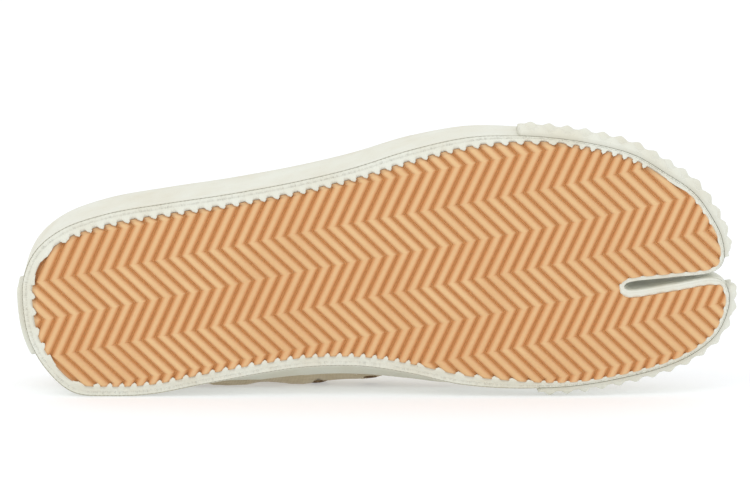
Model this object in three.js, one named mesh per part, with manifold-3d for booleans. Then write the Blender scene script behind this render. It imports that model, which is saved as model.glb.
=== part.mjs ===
// A split-toe (tabi) sneaker for the right foot, lying on its medial side on a floor.
// It is built in shoe axes: x from heel to toe, y towards the big toe, z up from the tread,
// and is then turned until it lies on the face of its hull that is under its centre of mass.
import * as THREE from 'three';
import { mergeVertices } from 'three/addons/utils/BufferGeometryUtils.js';
import { ConvexHull } from 'three/addons/math/ConvexHull.js';
import Module from 'manifold-3d';

const wasm = await Module();
wasm.setup();

// The last and the sole, in millimetres
const soleLength = 282; // nominal: the tape, without heel patch and studs, ends just short of it
const heelWidth = 77.6; // over the side tape
const ballWidth = 107.3;
const instepHeight = 84; // tread to the top of the throat
const collarHeight = 68; // tread to the topline at the heel
const archBelly = 18; // how far slack canvas bulges over the waist on the medial side
const bellyFoot = 5; // how sharply it draws in towards the tape
const bellyTop = 2.5; // and towards the instep
const wallBulge = 3.6; // fullness of the walls elsewhere
const toeSpring = 13;
const archLift = 2.2; // rise of the waist between heel and ball
const lastPower = 2.2; // 2 gives round sections, more gives square ones

// The split between the toes
const cleftGap = 2.6;
const cleftDepth = 40.6;
const cleftLine = 11.35; // its distance from the centre line
const cleftFlare = 3.8; // length of its rounded mouth
const cleftTape = 0.5; // how far the tape on its big-toe side is from toe tape to side tape
const rootTape = 0.2; // and the tape at its root
const cleftBulge = 0.1; // fullness of the walls in it, as a share of the walls' elsewhere

// Layers
const clearance = 0.3; // between pieces that touch
const soleThickness = 5.4; // ridge tops to the insole
const ridgeHeight = 1.7;
const tapeRise = 1; // ridge tops to the lower edge of the tape
const canvasThickness = 2.2;
const insoleThickness = 5;
const insoleInset = canvasThickness + 5 * clearance; // from the upper's outside
const sideTape = 4; // thickness of the tape along the sides
const toeTape = 1.4; // and round the toes and on the lateral side of the cleft
const tapeHeight = 27.5; // ridge tops to the upper edge of the side tape
const toeTapeHeight = 21;
const tapeRound = 1; // its rounded upper edge

// Herringbone tread
const ridgePitch = 5.28; // along the pattern's axis
const ridgeWidth = 3.7;
const armSpan = 15.2; // across the axis, from one bend to the next
const armAngle = 55; // degrees between an arm and the axis
const treadTurn = 5.65; // degrees from the shoe's axis to the pattern's, towards the little toe
const treadShift = 4.7; // where a bend that points at the toes lies across the sole
const treadStart = 0.5; // where a ridge's bends lie along it

// Toe bumper and heel patch
const bumperThickness = 1.7;
const bumperHeight = 16;
const bumperStart = 201; // from the heel
const bumperEnds = { outer: 1.2, big: 0.4 }; // rows of the edge between the cleft's mouth and each bumper
const studHeight = 2;
const studPitch = 6.8;
const studRadius = 4.1;
const patchWidth = 28;
const patchHeight = 22;
const patchThickness = 2;
const patchRise = 3; // ridge tops to its lower edge
const patchOffset = 7.7; // its middle, from the rearmost point of the edge towards the big-toe side
const patchReach = 2; // rows of the edge, each way from the heel's middle, that it lies within

// Throat, eyelets and lace
const throatFront = 197; // from the heel
const throatBack = 110;
const throatGap = 17;
const throatRound = 11; // length of its rounded front end
const throatFlare = 0.35; // how much wider it is at the collar, as a share
const eyeletPairs = 6;
const eyeletInset = 7.5; // throat edge to eyelet
const eyeletEnds = 8; // ends of the throat to the first and the last pair
const eyeletBore = 4.4;
const eyeletFlange = 8;
const eyeletWall = 0.5;
const ventFlange = 8.8;
const ventBore = 4.6;
const ventPlaces = [113.5, 137]; // from the heel
const ventHeight = 34.5;
const laceWidth = 7.5;
const laceThickness = 1.3;
const tongueThickness = 2.6;
const tongueWidth = 42;
const tongueBack = 98; // from the heel
const tongueTaper = 0.2; // how much narrower its ends are, as a share
const tongueRaise = 0.3; // slope of its free end against the ridge line
const tongueGap = 1.6; // under the quarters

// Lower edge of the side tape, as shares. along: of soleLength; heel and ball: of heelWidth and ballWidth,
// which add up to the distance from the centre line; tape: 1 side tape, 0 toe tape;
// bulge: of wallBulge; arch: of archBelly
// columns: along, heel, ball, tape, bulge, arch
const lateralEdge = [
  [0.005, -0.0399, 0, 1, 0.8, 0],
  [0.0112, -0.1818, 0, 1, 0.8, 0],
  [0.0319, -0.3113, 0, 1, 0.8, 0],
  [0.0708, -0.408, 0, 1, 0.9, 0],
  [0.135, -0.4686, 0, 1, 1, 0],
  [0.22, -0.4968, 0, 1, 1, 0],
  [0.32, -0.36, -0.1153, 1, 1, 0],
  [0.4052, -0.25, -0.2157, 1, 1, 0],
  [0.4804, -0.13, -0.333, 1, 1, 0],
  [0.5651, 0, -0.479, 1, 1, 0],
  [0.6451, 0, -0.5073, 0.8, 0.9, 0],
  [0.7097, 0, -0.498, 0.3, 0.8, 0],
  [0.7578, 0, -0.479, 0, 0.7, 0],
  [0.8138, 0, -0.4417, 0, 0.6, 0],
  [0.8716, 0, -0.383, 0, 0.5, 0],
  [0.9151, 0, -0.3, 0, 0.5, 0],
  [0.9531, 0, -0.2138, 0, 0.5, 0],
  [0.9769, 0, -0.1131, 0, 0.5, 0],
  [0.9905, 0, -0.0196, 0, 0.5, 0],
  [0.9896, 0, 0.0641, 0, 0.3, 0],
];
const medialEdge = [
  [0.989, 0, 0.142, 0, 0.3, 0],
  [0.9954, 0, 0.194, 0, 0.5, 0],
  [0.9903, 0, 0.2576, 0, 0.5, 0],
  [0.9734, 0, 0.332, 0, 0.5, 0],
  [0.9401, 0, 0.3898, 0, 0.5, 0],
  [0.9, 0, 0.4243, 0, 0.5, 0],
  [0.8501, 0, 0.4447, 0, 0.5, 0],
  [0.7845, 0, 0.4579, 0, 0.7, 0.02],
  [0.7223, 0, 0.4561, 0.3, 0.5, 0.03],
  [0.6611, 0, 0.4425, 0.8, 0.7, 0.15],
  [0.6001, 0, 0.4133, 1, 1, 0.36],
  [0.5354, 0, 0.3611, 1, 1, 0.62],
  [0.4701, 0.12, 0.2349, 1, 1, 0.82],
  [0.39, 0.26, 0.1178, 1, 1, 0.97],
  [0.32, 0.37, 0.047, 1, 1, 1],
  [0.2444, 0.4612, 0, 1, 1, 0.66],
  [0.1749, 0.4887, 0, 1, 0.8, 0.25],
  [0.1156, 0.4814, 0, 1, 0.7, 0.08],
  [0.063, 0.4455, 0, 1, 0.9, 0],
  [0.0295, 0.3186, 0, 1, 0.8, 0],
  [0.0091, 0.1534, 0, 1, 0.8, 0],
];

// The ridge line over the foot, as shares. along: of soleLength; side: of ballWidth; rise: of instepHeight
// columns: along, side, rise
const mainSpine = [
  [0.16, 0.0, 1.22],
  [0.25, 0.0, 1.14],
  [0.34, 0.005, 1.05],
  [0.4, 0.015, 1.0],
  [0.5, 0.03, 0.91],
  [0.6, 0.04, 0.8],
  [0.7, 0.045, 0.665],
  [0.787, 0.05, 0.54],
];
const outerSpine = [
  [0.787, 0.05, 0.54],
  [0.84, -0.07, 0.445],
  [0.905, -0.165, 0.35],
];
const bigToeSpine = [
  [0.787, 0.05, 0.54],
  [0.85, 0.2, 0.455],
  [0.925, 0.278, 0.375],
];

// along: of soleLength; rise: of collarHeight
// columns: along, rise
const topline = [
  [0.0, 1.0],
  [0.06, 0.97],
  [0.14, 0.87],
  [0.25, 0.815],
  [0.33, 0.93],
  [0.4, 1.25],
];

// along: of soleLength; spring: of toeSpring; arch: of archLift
// columns: along, spring, arch
const bottomLine = [
  [0.0, 0.06, 0],
  [0.04, 0.0, 0],
  [0.27, 0, 0],
  [0.36, 0, 0.6],
  [0.44, 0, 1],
  [0.53, 0, 0.6],
  [0.62, 0, 0],
  [0.74, 0.0, 0],
  [0.83, 0.18, 0],
  [0.92, 0.54, 0],
  [1.0, 1.0, 0],
];

// Rows of studs on the bumper. columns: rise, of bumperHeight; shift, of studPitch; height, of studHeight
const studRows = [
  [0.29, 0.25, 1],
  [0.71, 0.75, 0.8],
];

// How many ribs and levels the meshes have
const counts = {
  heel: 6, quarter: 13, vamp: 3, lobe: 3, tip: 7, root: 3, canvas: 6, tongue: 4, eyelet: 6, lace: 4,
};

// density: grams in a cubic millimetre, for the balance of the lying shoe
const kinds = {
  gum: { color: 0xdca974, roughness: 0.6, metalness: 0, density: 1.15e-3 },
  rubber: { color: 0xe3e4da, roughness: 0.55, metalness: 0, density: 1.2e-3 },
  canvas: { color: 0xe4dac4, roughness: 0.95, metalness: 0, density: 0.4e-3 },
  lining: { color: 0xd9cfb8, roughness: 0.95, metalness: 0, density: 0.25e-3 },
  steel: { color: 0x8d8069, roughness: 0.35, metalness: 1, density: 7.8e-3 },
  cotton: { color: 0xefe9dc, roughness: 0.9, metalness: 0, density: 0.5e-3 },
};

// Smooth curve through a table's rows, read at a value of its first column
function readRow(rows, at) {
  const last = rows.length - 1;
  if (at <= rows[0][0]) return rows[0].slice();
  if (at >= rows[last][0]) return rows[last].slice();
  const k = rows.findIndex((row, i) => i < last && at <= rows[i + 1][0]);
  const [a, b] = [rows[k], rows[k + 1]];
  const step = b[0] - a[0];
  const t = (at - a[0]) / step;
  return a.map((value, c) => {
    if (c === 0) return at;
    const slope = (b[c] - value) / step;
    const before = k > 0 ? (value - rows[k - 1][c]) / (a[0] - rows[k - 1][0]) : slope;
    const after = k + 1 < last ? (rows[k + 2][c] - b[c]) / (rows[k + 2][0] - b[0]) : slope;
    // a tangent is flat where the table turns, so that nothing overshoots
    const m0 = before * slope > 0 ? (2 * before * slope) / (before + slope) : 0;
    const m1 = after * slope > 0 ? (2 * after * slope) / (after + slope) : 0;
    const rise = (b[c] - value) * (3 - 2 * t) * t * t;
    return value + rise + step * (m0 * t * (1 - t) * (1 - t) - m1 * t * t * (1 - t));
  });
}

function bottomRise(x) {
  const [, spring, arch] = readRow(bottomLine, x / soleLength);
  return spring * toeSpring + arch * archLift;
}

// The edge as one closed curve: lateral side, cleft, medial side
function edgePoints() {
  const shape = ([along, heel, ball, ...rest]) => {
    return [along * soleLength, heel * heelWidth + ball * ballWidth, ...rest];
  };
  const mouth = lateralEdge.at(-1)[0] * soleLength;
  const root = mouth - cleftDepth + cleftGap / 2;
  const near = mouth - cleftFlare;
  const wall = (x, side) => {
    return [x, cleftLine + (side * cleftGap) / 2, side > 0 ? cleftTape : 0, cleftBulge, 0];
  };
  return [
    ...lateralEdge.map(shape),
    wall(near, -1),
    wall((near + root) / 2, -1),
    wall(root, -1),
    [mouth - cleftDepth, cleftLine, rootTape, cleftBulge, 0],
    wall(root, 1),
    wall((near + root) / 2, 1),
    wall(near, 1),
    ...medialEdge.map(shape),
  ];
}

const edge = edgePoints();
const cleftStart = lateralEdge.length;
const medialStart = cleftStart + 7;

// Centripetal curve through the edge's points, at a place u in the list
function edgeAt(u) {
  const n = edge.length;
  const k = Math.floor(u);
  const [p0, p1, p2, p3] = [k - 1, k, k + 1, k + 2].map((i) => edge[((i % n) + n) % n]);
  const knot = (p, q) => Math.sqrt(Math.hypot(p[0] - q[0], p[1] - q[1]));
  const [d0, d1, d2] = [knot(p0, p1), knot(p1, p2), knot(p2, p3)];
  const t = u - k;
  return p1.map((value, c) => {
    if (c > 1) return value + (p2[c] - value) * t;
    const m1 = d1 * ((value - p0[c]) / d0 - (p2[c] - p0[c]) / (d0 + d1) + (p2[c] - value) / d1);
    const m2 = d1 * ((p2[c] - value) / d1 - (p3[c] - value) / (d1 + d2) + (p3[c] - p2[c]) / d2);
    const a = 2 * (value - p2[c]) + m1 + m2;
    const b = 3 * (p2[c] - value) - 2 * m1 - m2;
    return value + t * (m1 + t * (b + t * a));
  });
}

// A stretch of the edge, with its length measured so that it can be shared out evenly
function makeTrack(from, to) {
  const steps = Math.ceil(16 * (to - from));
  const places = [from];
  const lengths = [0];
  let before = edgeAt(from);
  for (let i = 1; i <= steps; i++) {
    places.push(from + ((to - from) * i) / steps);
    const here = edgeAt(places[i]);
    lengths.push(lengths[i - 1] + Math.hypot(here[0] - before[0], here[1] - before[1]));
    before = here;
  }
  return { from, to, places, lengths, length: lengths[steps] };
}

function interpolate(xs, ys, x) {
  const i = Math.min(Math.max(xs.findIndex((value) => value >= x), 1), xs.length - 1);
  return ys[i - 1] + ((ys[i] - ys[i - 1]) * (x - xs[i - 1])) / (xs[i] - xs[i - 1]);
}

// The place on the lateral or the medial side that is x from the heel
function placeFor(x, side) {
  let [low, high] = side < 0 ? [0, cleftStart - 3] : [edge.length, medialStart + 2];
  for (let i = 0; i < 40; i++) {
    const middle = (low + high) / 2;
    if (edgeAt(middle)[0] < x) low = middle;
    else high = middle;
  }
  return (low + high) / 2;
}

// Stretches of the edge with the part of the ridge line that their ribs run to
const heelFan = mainSpine[0][0] * soleLength;
const branch = mainSpine.at(-1)[0] * soleLength;
const throatShare = (throatFront - heelFan) / (branch - heelFan);
// Row of the edge, counted from the cleft's mouth, where a lobe's side ends and its tip begins
const tipRows = { lateral: 5, medial: 4 };
const toeFan = { lateral: cleftStart - tipRows.lateral, medial: medialStart + tipRows.medial };
const stretches = [
  [0, placeFor(heelFan, -1), counts.heel, mainSpine, 0, 0],
  [placeFor(heelFan, -1), placeFor(throatFront, -1), counts.quarter, mainSpine, 0, throatShare],
  [placeFor(throatFront, -1), placeFor(branch, -1), counts.vamp, mainSpine, throatShare, 1],
  [placeFor(branch, -1), toeFan.lateral, counts.lobe, outerSpine, 0, 1],
  [toeFan.lateral, cleftStart, counts.tip, outerSpine, 1, 1],
  [cleftStart, cleftStart + 2, counts.lobe, outerSpine, 1, 0],
  [cleftStart + 2, cleftStart + 4, counts.root, outerSpine, 0, 0],
  [cleftStart + 4, cleftStart + 6, counts.lobe, bigToeSpine, 0, 1],
  [cleftStart + 6, toeFan.medial, counts.tip, bigToeSpine, 1, 1],
  [toeFan.medial, placeFor(branch, 1), counts.lobe, bigToeSpine, 1, 0],
  [placeFor(branch, 1), placeFor(throatFront, 1), counts.vamp, mainSpine, 1, throatShare],
  [placeFor(throatFront, 1), placeFor(heelFan, 1), counts.quarter, mainSpine, throatShare, 0],
  [placeFor(heelFan, 1), edge.length, counts.heel, mainSpine, 0, 0],
].map(([from, to, count, spine, start, finish]) => {
  return { track: makeTrack(from, to), count, spine, start, finish };
});

function spineAt(rows, f) {
  const first = rows[0][0];
  const [along, side, rise] = readRow(rows, first + (rows.at(-1)[0] - first) * f);
  return new THREE.Vector3(along * soleLength, side * ballWidth, rise * instepHeight);
}

function throatEdge(x) {
  if (x >= throatFront) return 0;
  const into = Math.min((throatFront - x) / throatRound, 1);
  const wider = 1 + (throatFlare * (throatFront - x)) / (throatFront - throatBack);
  return (throatGap / 2) * wider * Math.sqrt(1 - (1 - into) ** 2);
}

const reachAt = (v) => 1 - (1 - v ** lastPower) ** (1 / lastPower);
const levelAt = (reach) => (1 - (1 - reach) ** lastPower) ** (1 / lastPower);

// A rib runs from the edge of the sole up the wall and over to the ridge line
function ribAt(stretch, f) {
  const u = interpolate(stretch.track.lengths, stretch.track.places, f * stretch.track.length);
  const [x, y, tape, bulge, arch] = edgeAt(u);
  const [ahead, behind] = [edgeAt(u + 0.02), edgeAt(u - 0.02)];
  const out = new THREE.Vector2(ahead[1] - behind[1], behind[0] - ahead[0]).normalize();
  const top = spineAt(stretch.spine, stretch.start + (stretch.finish - stretch.start) * f);
  const lower = new THREE.Vector2(x, y);
  const thickness = toeTape + (sideTape - toeTape) * tape;
  const foot = lower.clone().addScaledVector(out, -thickness - clearance);
  const inward = new THREE.Vector2(top.x - foot.x, top.y - foot.y).normalize();
  const rib = { u, lower, foot, inward, out, top, thickness };
  rib.bulge = bulge * wallBulge;
  rib.arch = arch * archBelly;
  rib.tapeTop = toeTapeHeight + (tapeHeight - toeTapeHeight) * tape;
  rib.span = foot.distanceTo(new THREE.Vector2(top.x, top.y));
  const level = (z) => (z - soleThickness) / (top.z - soleThickness);
  rib.level = level;
  rib.end = 1;
  if (stretch.spine === mainSpine && top.x < throatFront - 0.01) {
    const [, rise] = readRow(topline, lower.x / soleLength);
    rib.end = Math.min(levelAt(1 - Math.min(throatEdge(top.x) / rib.span, 1)), level(rise * collarHeight));
  }
  return rib;
}

function ribAtPlace(u) {
  const place = u < 0 ? u + edge.length : u;
  const stretch = stretches.find(({ track }) => place <= track.to);
  const { places, lengths, length } = stretch.track;
  return ribAt(stretch, interpolate(places, lengths, place) / length);
}

// The rib of a quarter or the vamp whose top is x from the heel
function ribAtX(x, side) {
  const half = side < 0 ? stretches : stretches.toReversed();
  const share = (x - heelFan) / (branch - heelFan);
  const stretch = share <= throatShare ? half[1] : half[2];
  return ribAt(stretch, (share - stretch.start) / (stretch.finish - stretch.start));
}

// Point on the outside of the upper at a level between 0 at the sole and 1 at the ridge line
function surfaceAt(rib, level) {
  const crown = 4 * level * (1 - level);
  const belly = crown ** (level < 0.5 ? bellyFoot : bellyTop);
  const out = level > 0 ? rib.bulge * crown ** 1.5 + rib.arch * belly : 0;
  const reach = reachAt(Math.max(level, 0)) * rib.span;
  const x = rib.foot.x + rib.inward.x * reach + rib.out.x * out;
  const y = rib.foot.y + rib.inward.y * reach + rib.out.y * out;
  return new THREE.Vector3(x, y, soleThickness + level * (rib.top.z - soleThickness));
}

// Point on a layer outside the upper: part 0 is the upper, 1 the outside of the tape
function layerAt(rib, z, part, beyond = 0) {
  const point = surfaceAt(rib, Math.max(rib.level(z), 0));
  point.x += part * (rib.lower.x - rib.foot.x) + beyond * rib.out.x;
  point.y += part * (rib.lower.y - rib.foot.y) + beyond * rib.out.y;
  point.z = z;
  return point;
}

const ribs = stretches.flatMap((stretch) =>
  Array.from({ length: stretch.count }, (_, i) => ribAt(stretch, i / stretch.count)));

const lift = (point) => new THREE.Vector3(point.x, point.y, point.z + bottomRise(point.x));

// Collects triangles into one closed body, with shared corners merged and flat triangles dropped
function makeGeometry(triangles) {
  const loose = new THREE.BufferGeometry().setFromPoints(triangles.flat());
  const merged = mergeVertices(loose, 1e-3);
  const index = [...merged.index.array];
  const kept = [];
  for (let i = 0; i < index.length; i += 3) {
    const [a, b, c] = index.slice(i, i + 3);
    if (a !== b && b !== c && c !== a) kept.push(a, b, c);
  }
  merged.setIndex(kept);
  return merged;
}

// Two triangles, split along the shorter diagonal, so that layers over each other have the same facets
function quad(a, b, c, d) {
  if (a.distanceTo(c) <= b.distanceTo(d) + 1e-6) return [[a, b, c], [a, c, d]];
  return [[a, b, d], [b, c, d]];
}

// Triangles between neighbouring rows of points, each row a closed section
function skinRows(rows, closed, skip = () => false) {
  const triangles = [];
  const count = closed ? rows.length : rows.length - 1;
  for (let i = 0; i < count; i++) {
    const [row, next] = [rows[i], rows[(i + 1) % rows.length]];
    row.forEach((point, j) => {
      const k = (j + 1) % row.length;
      if (!skip(i, j)) triangles.push(...quad(point, next[j], next[k], row[k]));
    });
  }
  return triangles;
}

// Ends for sections that don't close on themselves: each section's first half is joined to its last
function capRows(rows) {
  const close = (row) => {
    const half = row.length / 2 - 1;
    const rung = (_, k) => quad(row[k], row[k + 1], row.at(-2 - k), row.at(-1 - k));
    return Array.from({ length: half }, rung).flat();
  };
  return [...close(rows[0]), ...close(rows.at(-1)).map(([a, b, c]) => [a, c, b])];
}

function toManifold(geometry) {
  const bare = geometry.clone();
  Object.keys(bare.attributes).forEach((name) => name !== 'position' && bare.deleteAttribute(name));
  const merged = mergeVertices(bare, 1e-4);
  const vertProperties = new Float32Array(merged.attributes.position.array);
  const triVerts = new Uint32Array(merged.index.array);
  return new wasm.Manifold(new wasm.Mesh({ numProp: 3, vertProperties, triVerts }));
}

function fromManifold(solid) {
  const { vertProperties, triVerts } = solid.getMesh();
  const geometry = new THREE.BufferGeometry();
  geometry.setAttribute('position', new THREE.BufferAttribute(new Float32Array(vertProperties), 3));
  geometry.setIndex([...triVerts]);
  return geometry;
}

const shoe = new THREE.Group();
const density = new Map();

function addPiece(name, geometry, kind) {
  const plain = geometry.index ? geometry.toNonIndexed() : geometry;
  plain.computeVertexNormals();
  const { color, roughness, metalness } = kinds[kind];
  const mesh = new THREE.Mesh(plain, new THREE.MeshStandardMaterial({ color, roughness, metalness }));
  mesh.name = name;
  density.set(mesh, kinds[kind].density);
  shoe.add(mesh);
}

// Upper: rows of points up the outside of each rib and down the inside
function upperLevels(rib) {
  const start = rib.level(rib.tapeTop);
  const low = [0, rib.level(bumperHeight), start];
  const [from, to] = [Math.asin(start), Math.asin(rib.end)];
  for (let i = 1; i < counts.canvas; i++) low.push(Math.sin(from + ((to - from) * i) / counts.canvas));
  return [...low, rib.end];
}

function cornerNormals(triangles) {
  const sums = new Map();
  const key = (p) => `${p.x.toFixed(3)} ${p.y.toFixed(3)} ${p.z.toFixed(3)}`;
  for (const [a, b, c] of triangles) {
    const face = b.clone().sub(a).cross(c.clone().sub(a));
    for (const p of [a, b, c]) sums.set(key(p), (sums.get(key(p)) ?? new THREE.Vector3()).add(face));
  }
  return (p) => sums.get(key(p)).clone().normalize();
}

function makeUpper() {
  const outside = ribs.map((rib) => upperLevels(rib).map((level) => lift(surfaceAt(rib, level))));
  const last = outside[0].length - 1;
  const skin = skinRows(outside, true, (i, j) => j === last);
  const normal = cornerNormals(skin);
  const rows = outside.map((row) => {
    const inside = row.map((point) => point.clone().addScaledVector(normal(point), -canvasThickness));
    inside[0].z = row[0].z;
    return [...row, ...inside.reverse()];
  });
  const closed = (i) => ribs[i].end === 1 && ribs[(i + 1) % ribs.length].end === 1;
  return makeGeometry(skinRows(rows, true, (i, j) => j === last && closed(i)));
}

function makeFoxing() {
  const rows = ribs.map((rib) => {
    const inner = clearance / (rib.thickness + clearance);
    const middle = (1 + inner) / 2;
    return [
      [tapeRise, 1], [soleThickness, 1], [bumperHeight, 1], [rib.tapeTop - tapeRound, 1],
      [rib.tapeTop, middle], [rib.tapeTop, inner],
      [bumperHeight, inner], [soleThickness, inner], [tapeRise, inner],
    ].map(([z, part]) => lift(layerAt(rib, z, part)));
  });
  return makeGeometry(skinRows(rows, true));
}

// A plate with the outline of the sole. Its rim is the last inset, and the others are rings in its faces.
function makePlate(low, high, insets) {
  const ring = (rib, inset, z) => {
    const { x, y } = rib.foot.clone().addScaledVector(rib.out, -inset);
    return lift(new THREE.Vector3(x, y, z));
  };
  const rows = ribs.map((rib) => {
    const face = (z) => [lift(rib.top.clone().setZ(z)), ...insets.map((inset) => ring(rib, inset, z))];
    return [...face(low), ...face(high).reverse()];
  });
  return makeGeometry(skinRows(rows, true, (i, j) => j === rows[0].length - 1));
}

// Zigzag ridges, long enough to pass the sole's edge, in the pattern's own axes
function makeRidges() {
  const turn = THREE.MathUtils.degToRad(treadTurn);
  const slope = 1 / Math.tan(THREE.MathUtils.degToRad(armAngle));
  const bends = Math.ceil(ballWidth / 2 / armSpan) + 2;
  const place = (a, b, z) => {
    const x = a * Math.cos(turn) + b * Math.sin(turn);
    const y = b * Math.cos(turn) - a * Math.sin(turn);
    return lift(new THREE.Vector3(x, y, z));
  };
  const triangles = [];
  const reach = bends * armSpan * Math.tan(turn) + armSpan * slope;
  const before = Math.ceil(reach / ridgePitch);
  for (let start = treadStart - before * ridgePitch; start < soleLength + reach; start += ridgePitch) {
    const rows = [];
    for (let j = -bends; j <= bends; j++) {
      const b = treadShift + j * armSpan;
      const a = start + (j % 2 === 0 ? armSpan * slope : 0);
      const [from, to] = [a - ridgeWidth / 2, a + ridgeWidth / 2];
      const root = ridgeHeight + clearance;
      rows.push([place(from, b, 0), place(to, b, 0), place(to, b, root), place(from, b, root)]);
    }
    triangles.push(...skinRows(rows, false), ...capRows(rows));
  }
  return makeGeometry(triangles);
}

function makeOutsole() {
  const outline = new THREE.Shape(ribs.map((rib) => rib.foot));
  const column = new THREE.ExtrudeGeometry(outline, { depth: 2 * instepHeight, bevelEnabled: false });
  column.translate(0, 0, -instepHeight);
  const plate = makePlate(ridgeHeight, soleThickness - clearance, [insoleInset, 0]);
  return fromManifold(toManifold(makeRidges()).intersect(toManifold(column)).add(toManifold(plate)));
}

// The ribs between two places on the edge, with one at each end; a place before the heel's middle is negative
const nearest = 0.05; // of a row, between an end and the first rib inside it
function ribsBetween(from, to) {
  const unwrap = (rib) => (from < 0 && rib.u > edge.length / 2 ? rib.u - edge.length : rib.u);
  const inner = ribs.filter((rib) => unwrap(rib) > from + nearest && unwrap(rib) < to - nearest);
  inner.sort((a, b) => unwrap(a) - unwrap(b));
  return [ribAtPlace(from), ...inner, ribAtPlace(to)];
}

// A band stuck to the tape between two heights
function makeBand(bandRibs, low, high, thickness) {
  const round = thickness / 2;
  const rows = bandRibs.map((rib) => {
    const heights = [low, soleThickness, bumperHeight, high].filter((z, i) => i !== 2 || z < high - round);
    const reached = (z) => (z === high ? high - round : z);
    const outside = heights.map((z) => lift(layerAt(rib, reached(z), 1, clearance + thickness)));
    const inside = heights.map((z) => lift(layerAt(rib, z, 1, clearance)));
    return [...outside, ...inside.reverse()];
  });
  return makeGeometry([...skinRows(rows, false), ...capRows(rows)]);
}

// Blunt pyramids in staggered rows, rooted in the bumper's own facets
function makeStuds(bandRibs) {
  const rooted = bumperThickness / 2;
  const line = (z) => bandRibs.map((rib) => lift(layerAt(rib, z, 1, clearance + bumperThickness)));
  return studRows.flatMap(([rise, shift, height]) => {
    const points = line(bumperHeight * rise);
    const over = line(bumperHeight * rise + 1);
    const lengths = points.map((point, i) => (i ? point.distanceTo(points[i - 1]) : 0));
    lengths.forEach((length, i) => i && (lengths[i] += lengths[i - 1]));
    const count = Math.floor(lengths.at(-1) / studPitch);
    return Array.from({ length: count }, (_, n) => {
      const at = ((n + shift) * lengths.at(-1)) / count;
      const i = lengths.findIndex((length) => length >= at);
      const f = (at - lengths[i - 1]) / (lengths[i] - lengths[i - 1]);
      const base = points[i - 1].clone().lerp(points[i], f);
      const along = points[i].clone().sub(points[i - 1]).normalize();
      const out = along.clone().cross(over[i - 1].clone().lerp(over[i], f).sub(base)).normalize();
      const stud = new THREE.ConeGeometry(studRadius, studHeight * height + rooted, 4);
      stud.rotateY(Math.PI / 4).translate(0, (studHeight * height - rooted) / 2, 0);
      stud.applyMatrix4(new THREE.Matrix4().makeBasis(along, out, along.clone().cross(out)));
      return stud.translate(base.x, base.y, base.z);
    });
  });
}

function makeBumper(from, to) {
  const bandRibs = ribsBetween(from, to);
  const band = toManifold(makeBand(bandRibs, tapeRise, bumperHeight, bumperThickness));
  return fromManifold(makeStuds(bandRibs).reduce((solid, stud) => solid.add(toManifold(stud)), band));
}

function makeHeelPatch() {
  const track = makeTrack(-patchReach, patchReach);
  const middle = interpolate(track.places, track.lengths, 0) - patchOffset;
  const ends = [middle - patchWidth / 2, middle + patchWidth / 2];
  const [from, to] = ends.map((length) => interpolate(track.lengths, track.places, length));
  return makeBand(ribsBetween(from, to), patchRise, patchRise + patchHeight, patchThickness);
}

// Point over the instep, by its distance from the heel and from the ridge line, at a depth into the shoe
function instepAt(x, across, depth = 0) {
  const at = (alongX, acrossY) => {
    const rib = ribAtX(alongX, acrossY);
    return lift(surfaceAt(rib, levelAt(1 - Math.abs(acrossY) / rib.span)));
  };
  const point = at(x, across);
  const ahead = at(x + 1, across).sub(at(x - 1, across));
  const normal = ahead.cross(at(x, across + 1).sub(at(x, across - 1))).normalize();
  return { point: point.addScaledVector(normal, -depth), normal };
}

// Point on the medial wall, by its distance from the heel and its height
function medialWallAt(x, z) {
  const at = (alongX, height) => {
    const rib = ribAtX(alongX, 1);
    return lift(surfaceAt(rib, rib.level(height)));
  };
  const up = at(x, z + 1).sub(at(x, z - 1));
  const normal = up.cross(at(x + 1, z).sub(at(x - 1, z))).normalize();
  return { point: at(x, z), normal };
}

function makeTongue() {
  const stations = counts.quarter;
  const columns = counts.tongue;
  const [front, back] = [throatFront + throatRound, tongueBack];
  const rows = Array.from({ length: stations + 1 }, (_, i) => {
    const x = back + ((front - back) * i) / stations;
    const narrowing = x < throatBack ? 1 : (x - throatBack) / (front - throatBack);
    const width = tongueWidth * (1 - tongueTaper * narrowing);
    const raise = tongueRaise * Math.max(throatBack - x, 0);
    const layer = (depth) => Array.from({ length: columns + 1 }, (_, j) => {
      const { point } = instepAt(x, width * (j / columns - 0.5), depth);
      return point.setZ(point.z + raise);
    });
    const top = canvasThickness + tongueGap;
    return [...layer(top), ...layer(top + tongueThickness).reverse()];
  });
  return makeGeometry([...skinRows(rows, false), ...capRows(rows)]);
}

// An eyelet's flange lies over the canvas and its barrel goes through it
function makeEyelet(bore, flange, { point, normal }) {
  const barrel = bore / 2 + eyeletWall;
  const profile = [
    [bore / 2, -canvasThickness], [barrel, -canvasThickness], [barrel, clearance], [flange / 2, clearance],
    [flange / 2, clearance + eyeletWall], [bore / 2, clearance + eyeletWall], [bore / 2, -canvasThickness],
  ].map(([radius, height]) => new THREE.Vector2(radius, height));
  const ring = new THREE.LatheGeometry(profile, counts.eyelet);
  const turn = new THREE.Quaternion().setFromUnitVectors(new THREE.Vector3(0, 1, 0), normal);
  return ring.applyQuaternion(turn).translate(point.x, point.y, point.z);
}

function makeHole(bore, { point, normal }) {
  const radius = bore / 2 + eyeletWall + clearance;
  const drill = new THREE.CylinderGeometry(radius, radius, 4 * canvasThickness, counts.eyelet);
  drill.applyQuaternion(new THREE.Quaternion().setFromUnitVectors(new THREE.Vector3(0, 1, 0), normal));
  return drill.translate(point.x, point.y, point.z);
}

const eyeletRows = Array.from({ length: eyeletPairs }, (_, i) => {
  const x = throatFront - eyeletEnds + ((throatBack - throatFront + 2 * eyeletEnds) * i) / (eyeletPairs - 1);
  return { x, across: throatEdge(x) + eyeletInset };
});

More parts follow.
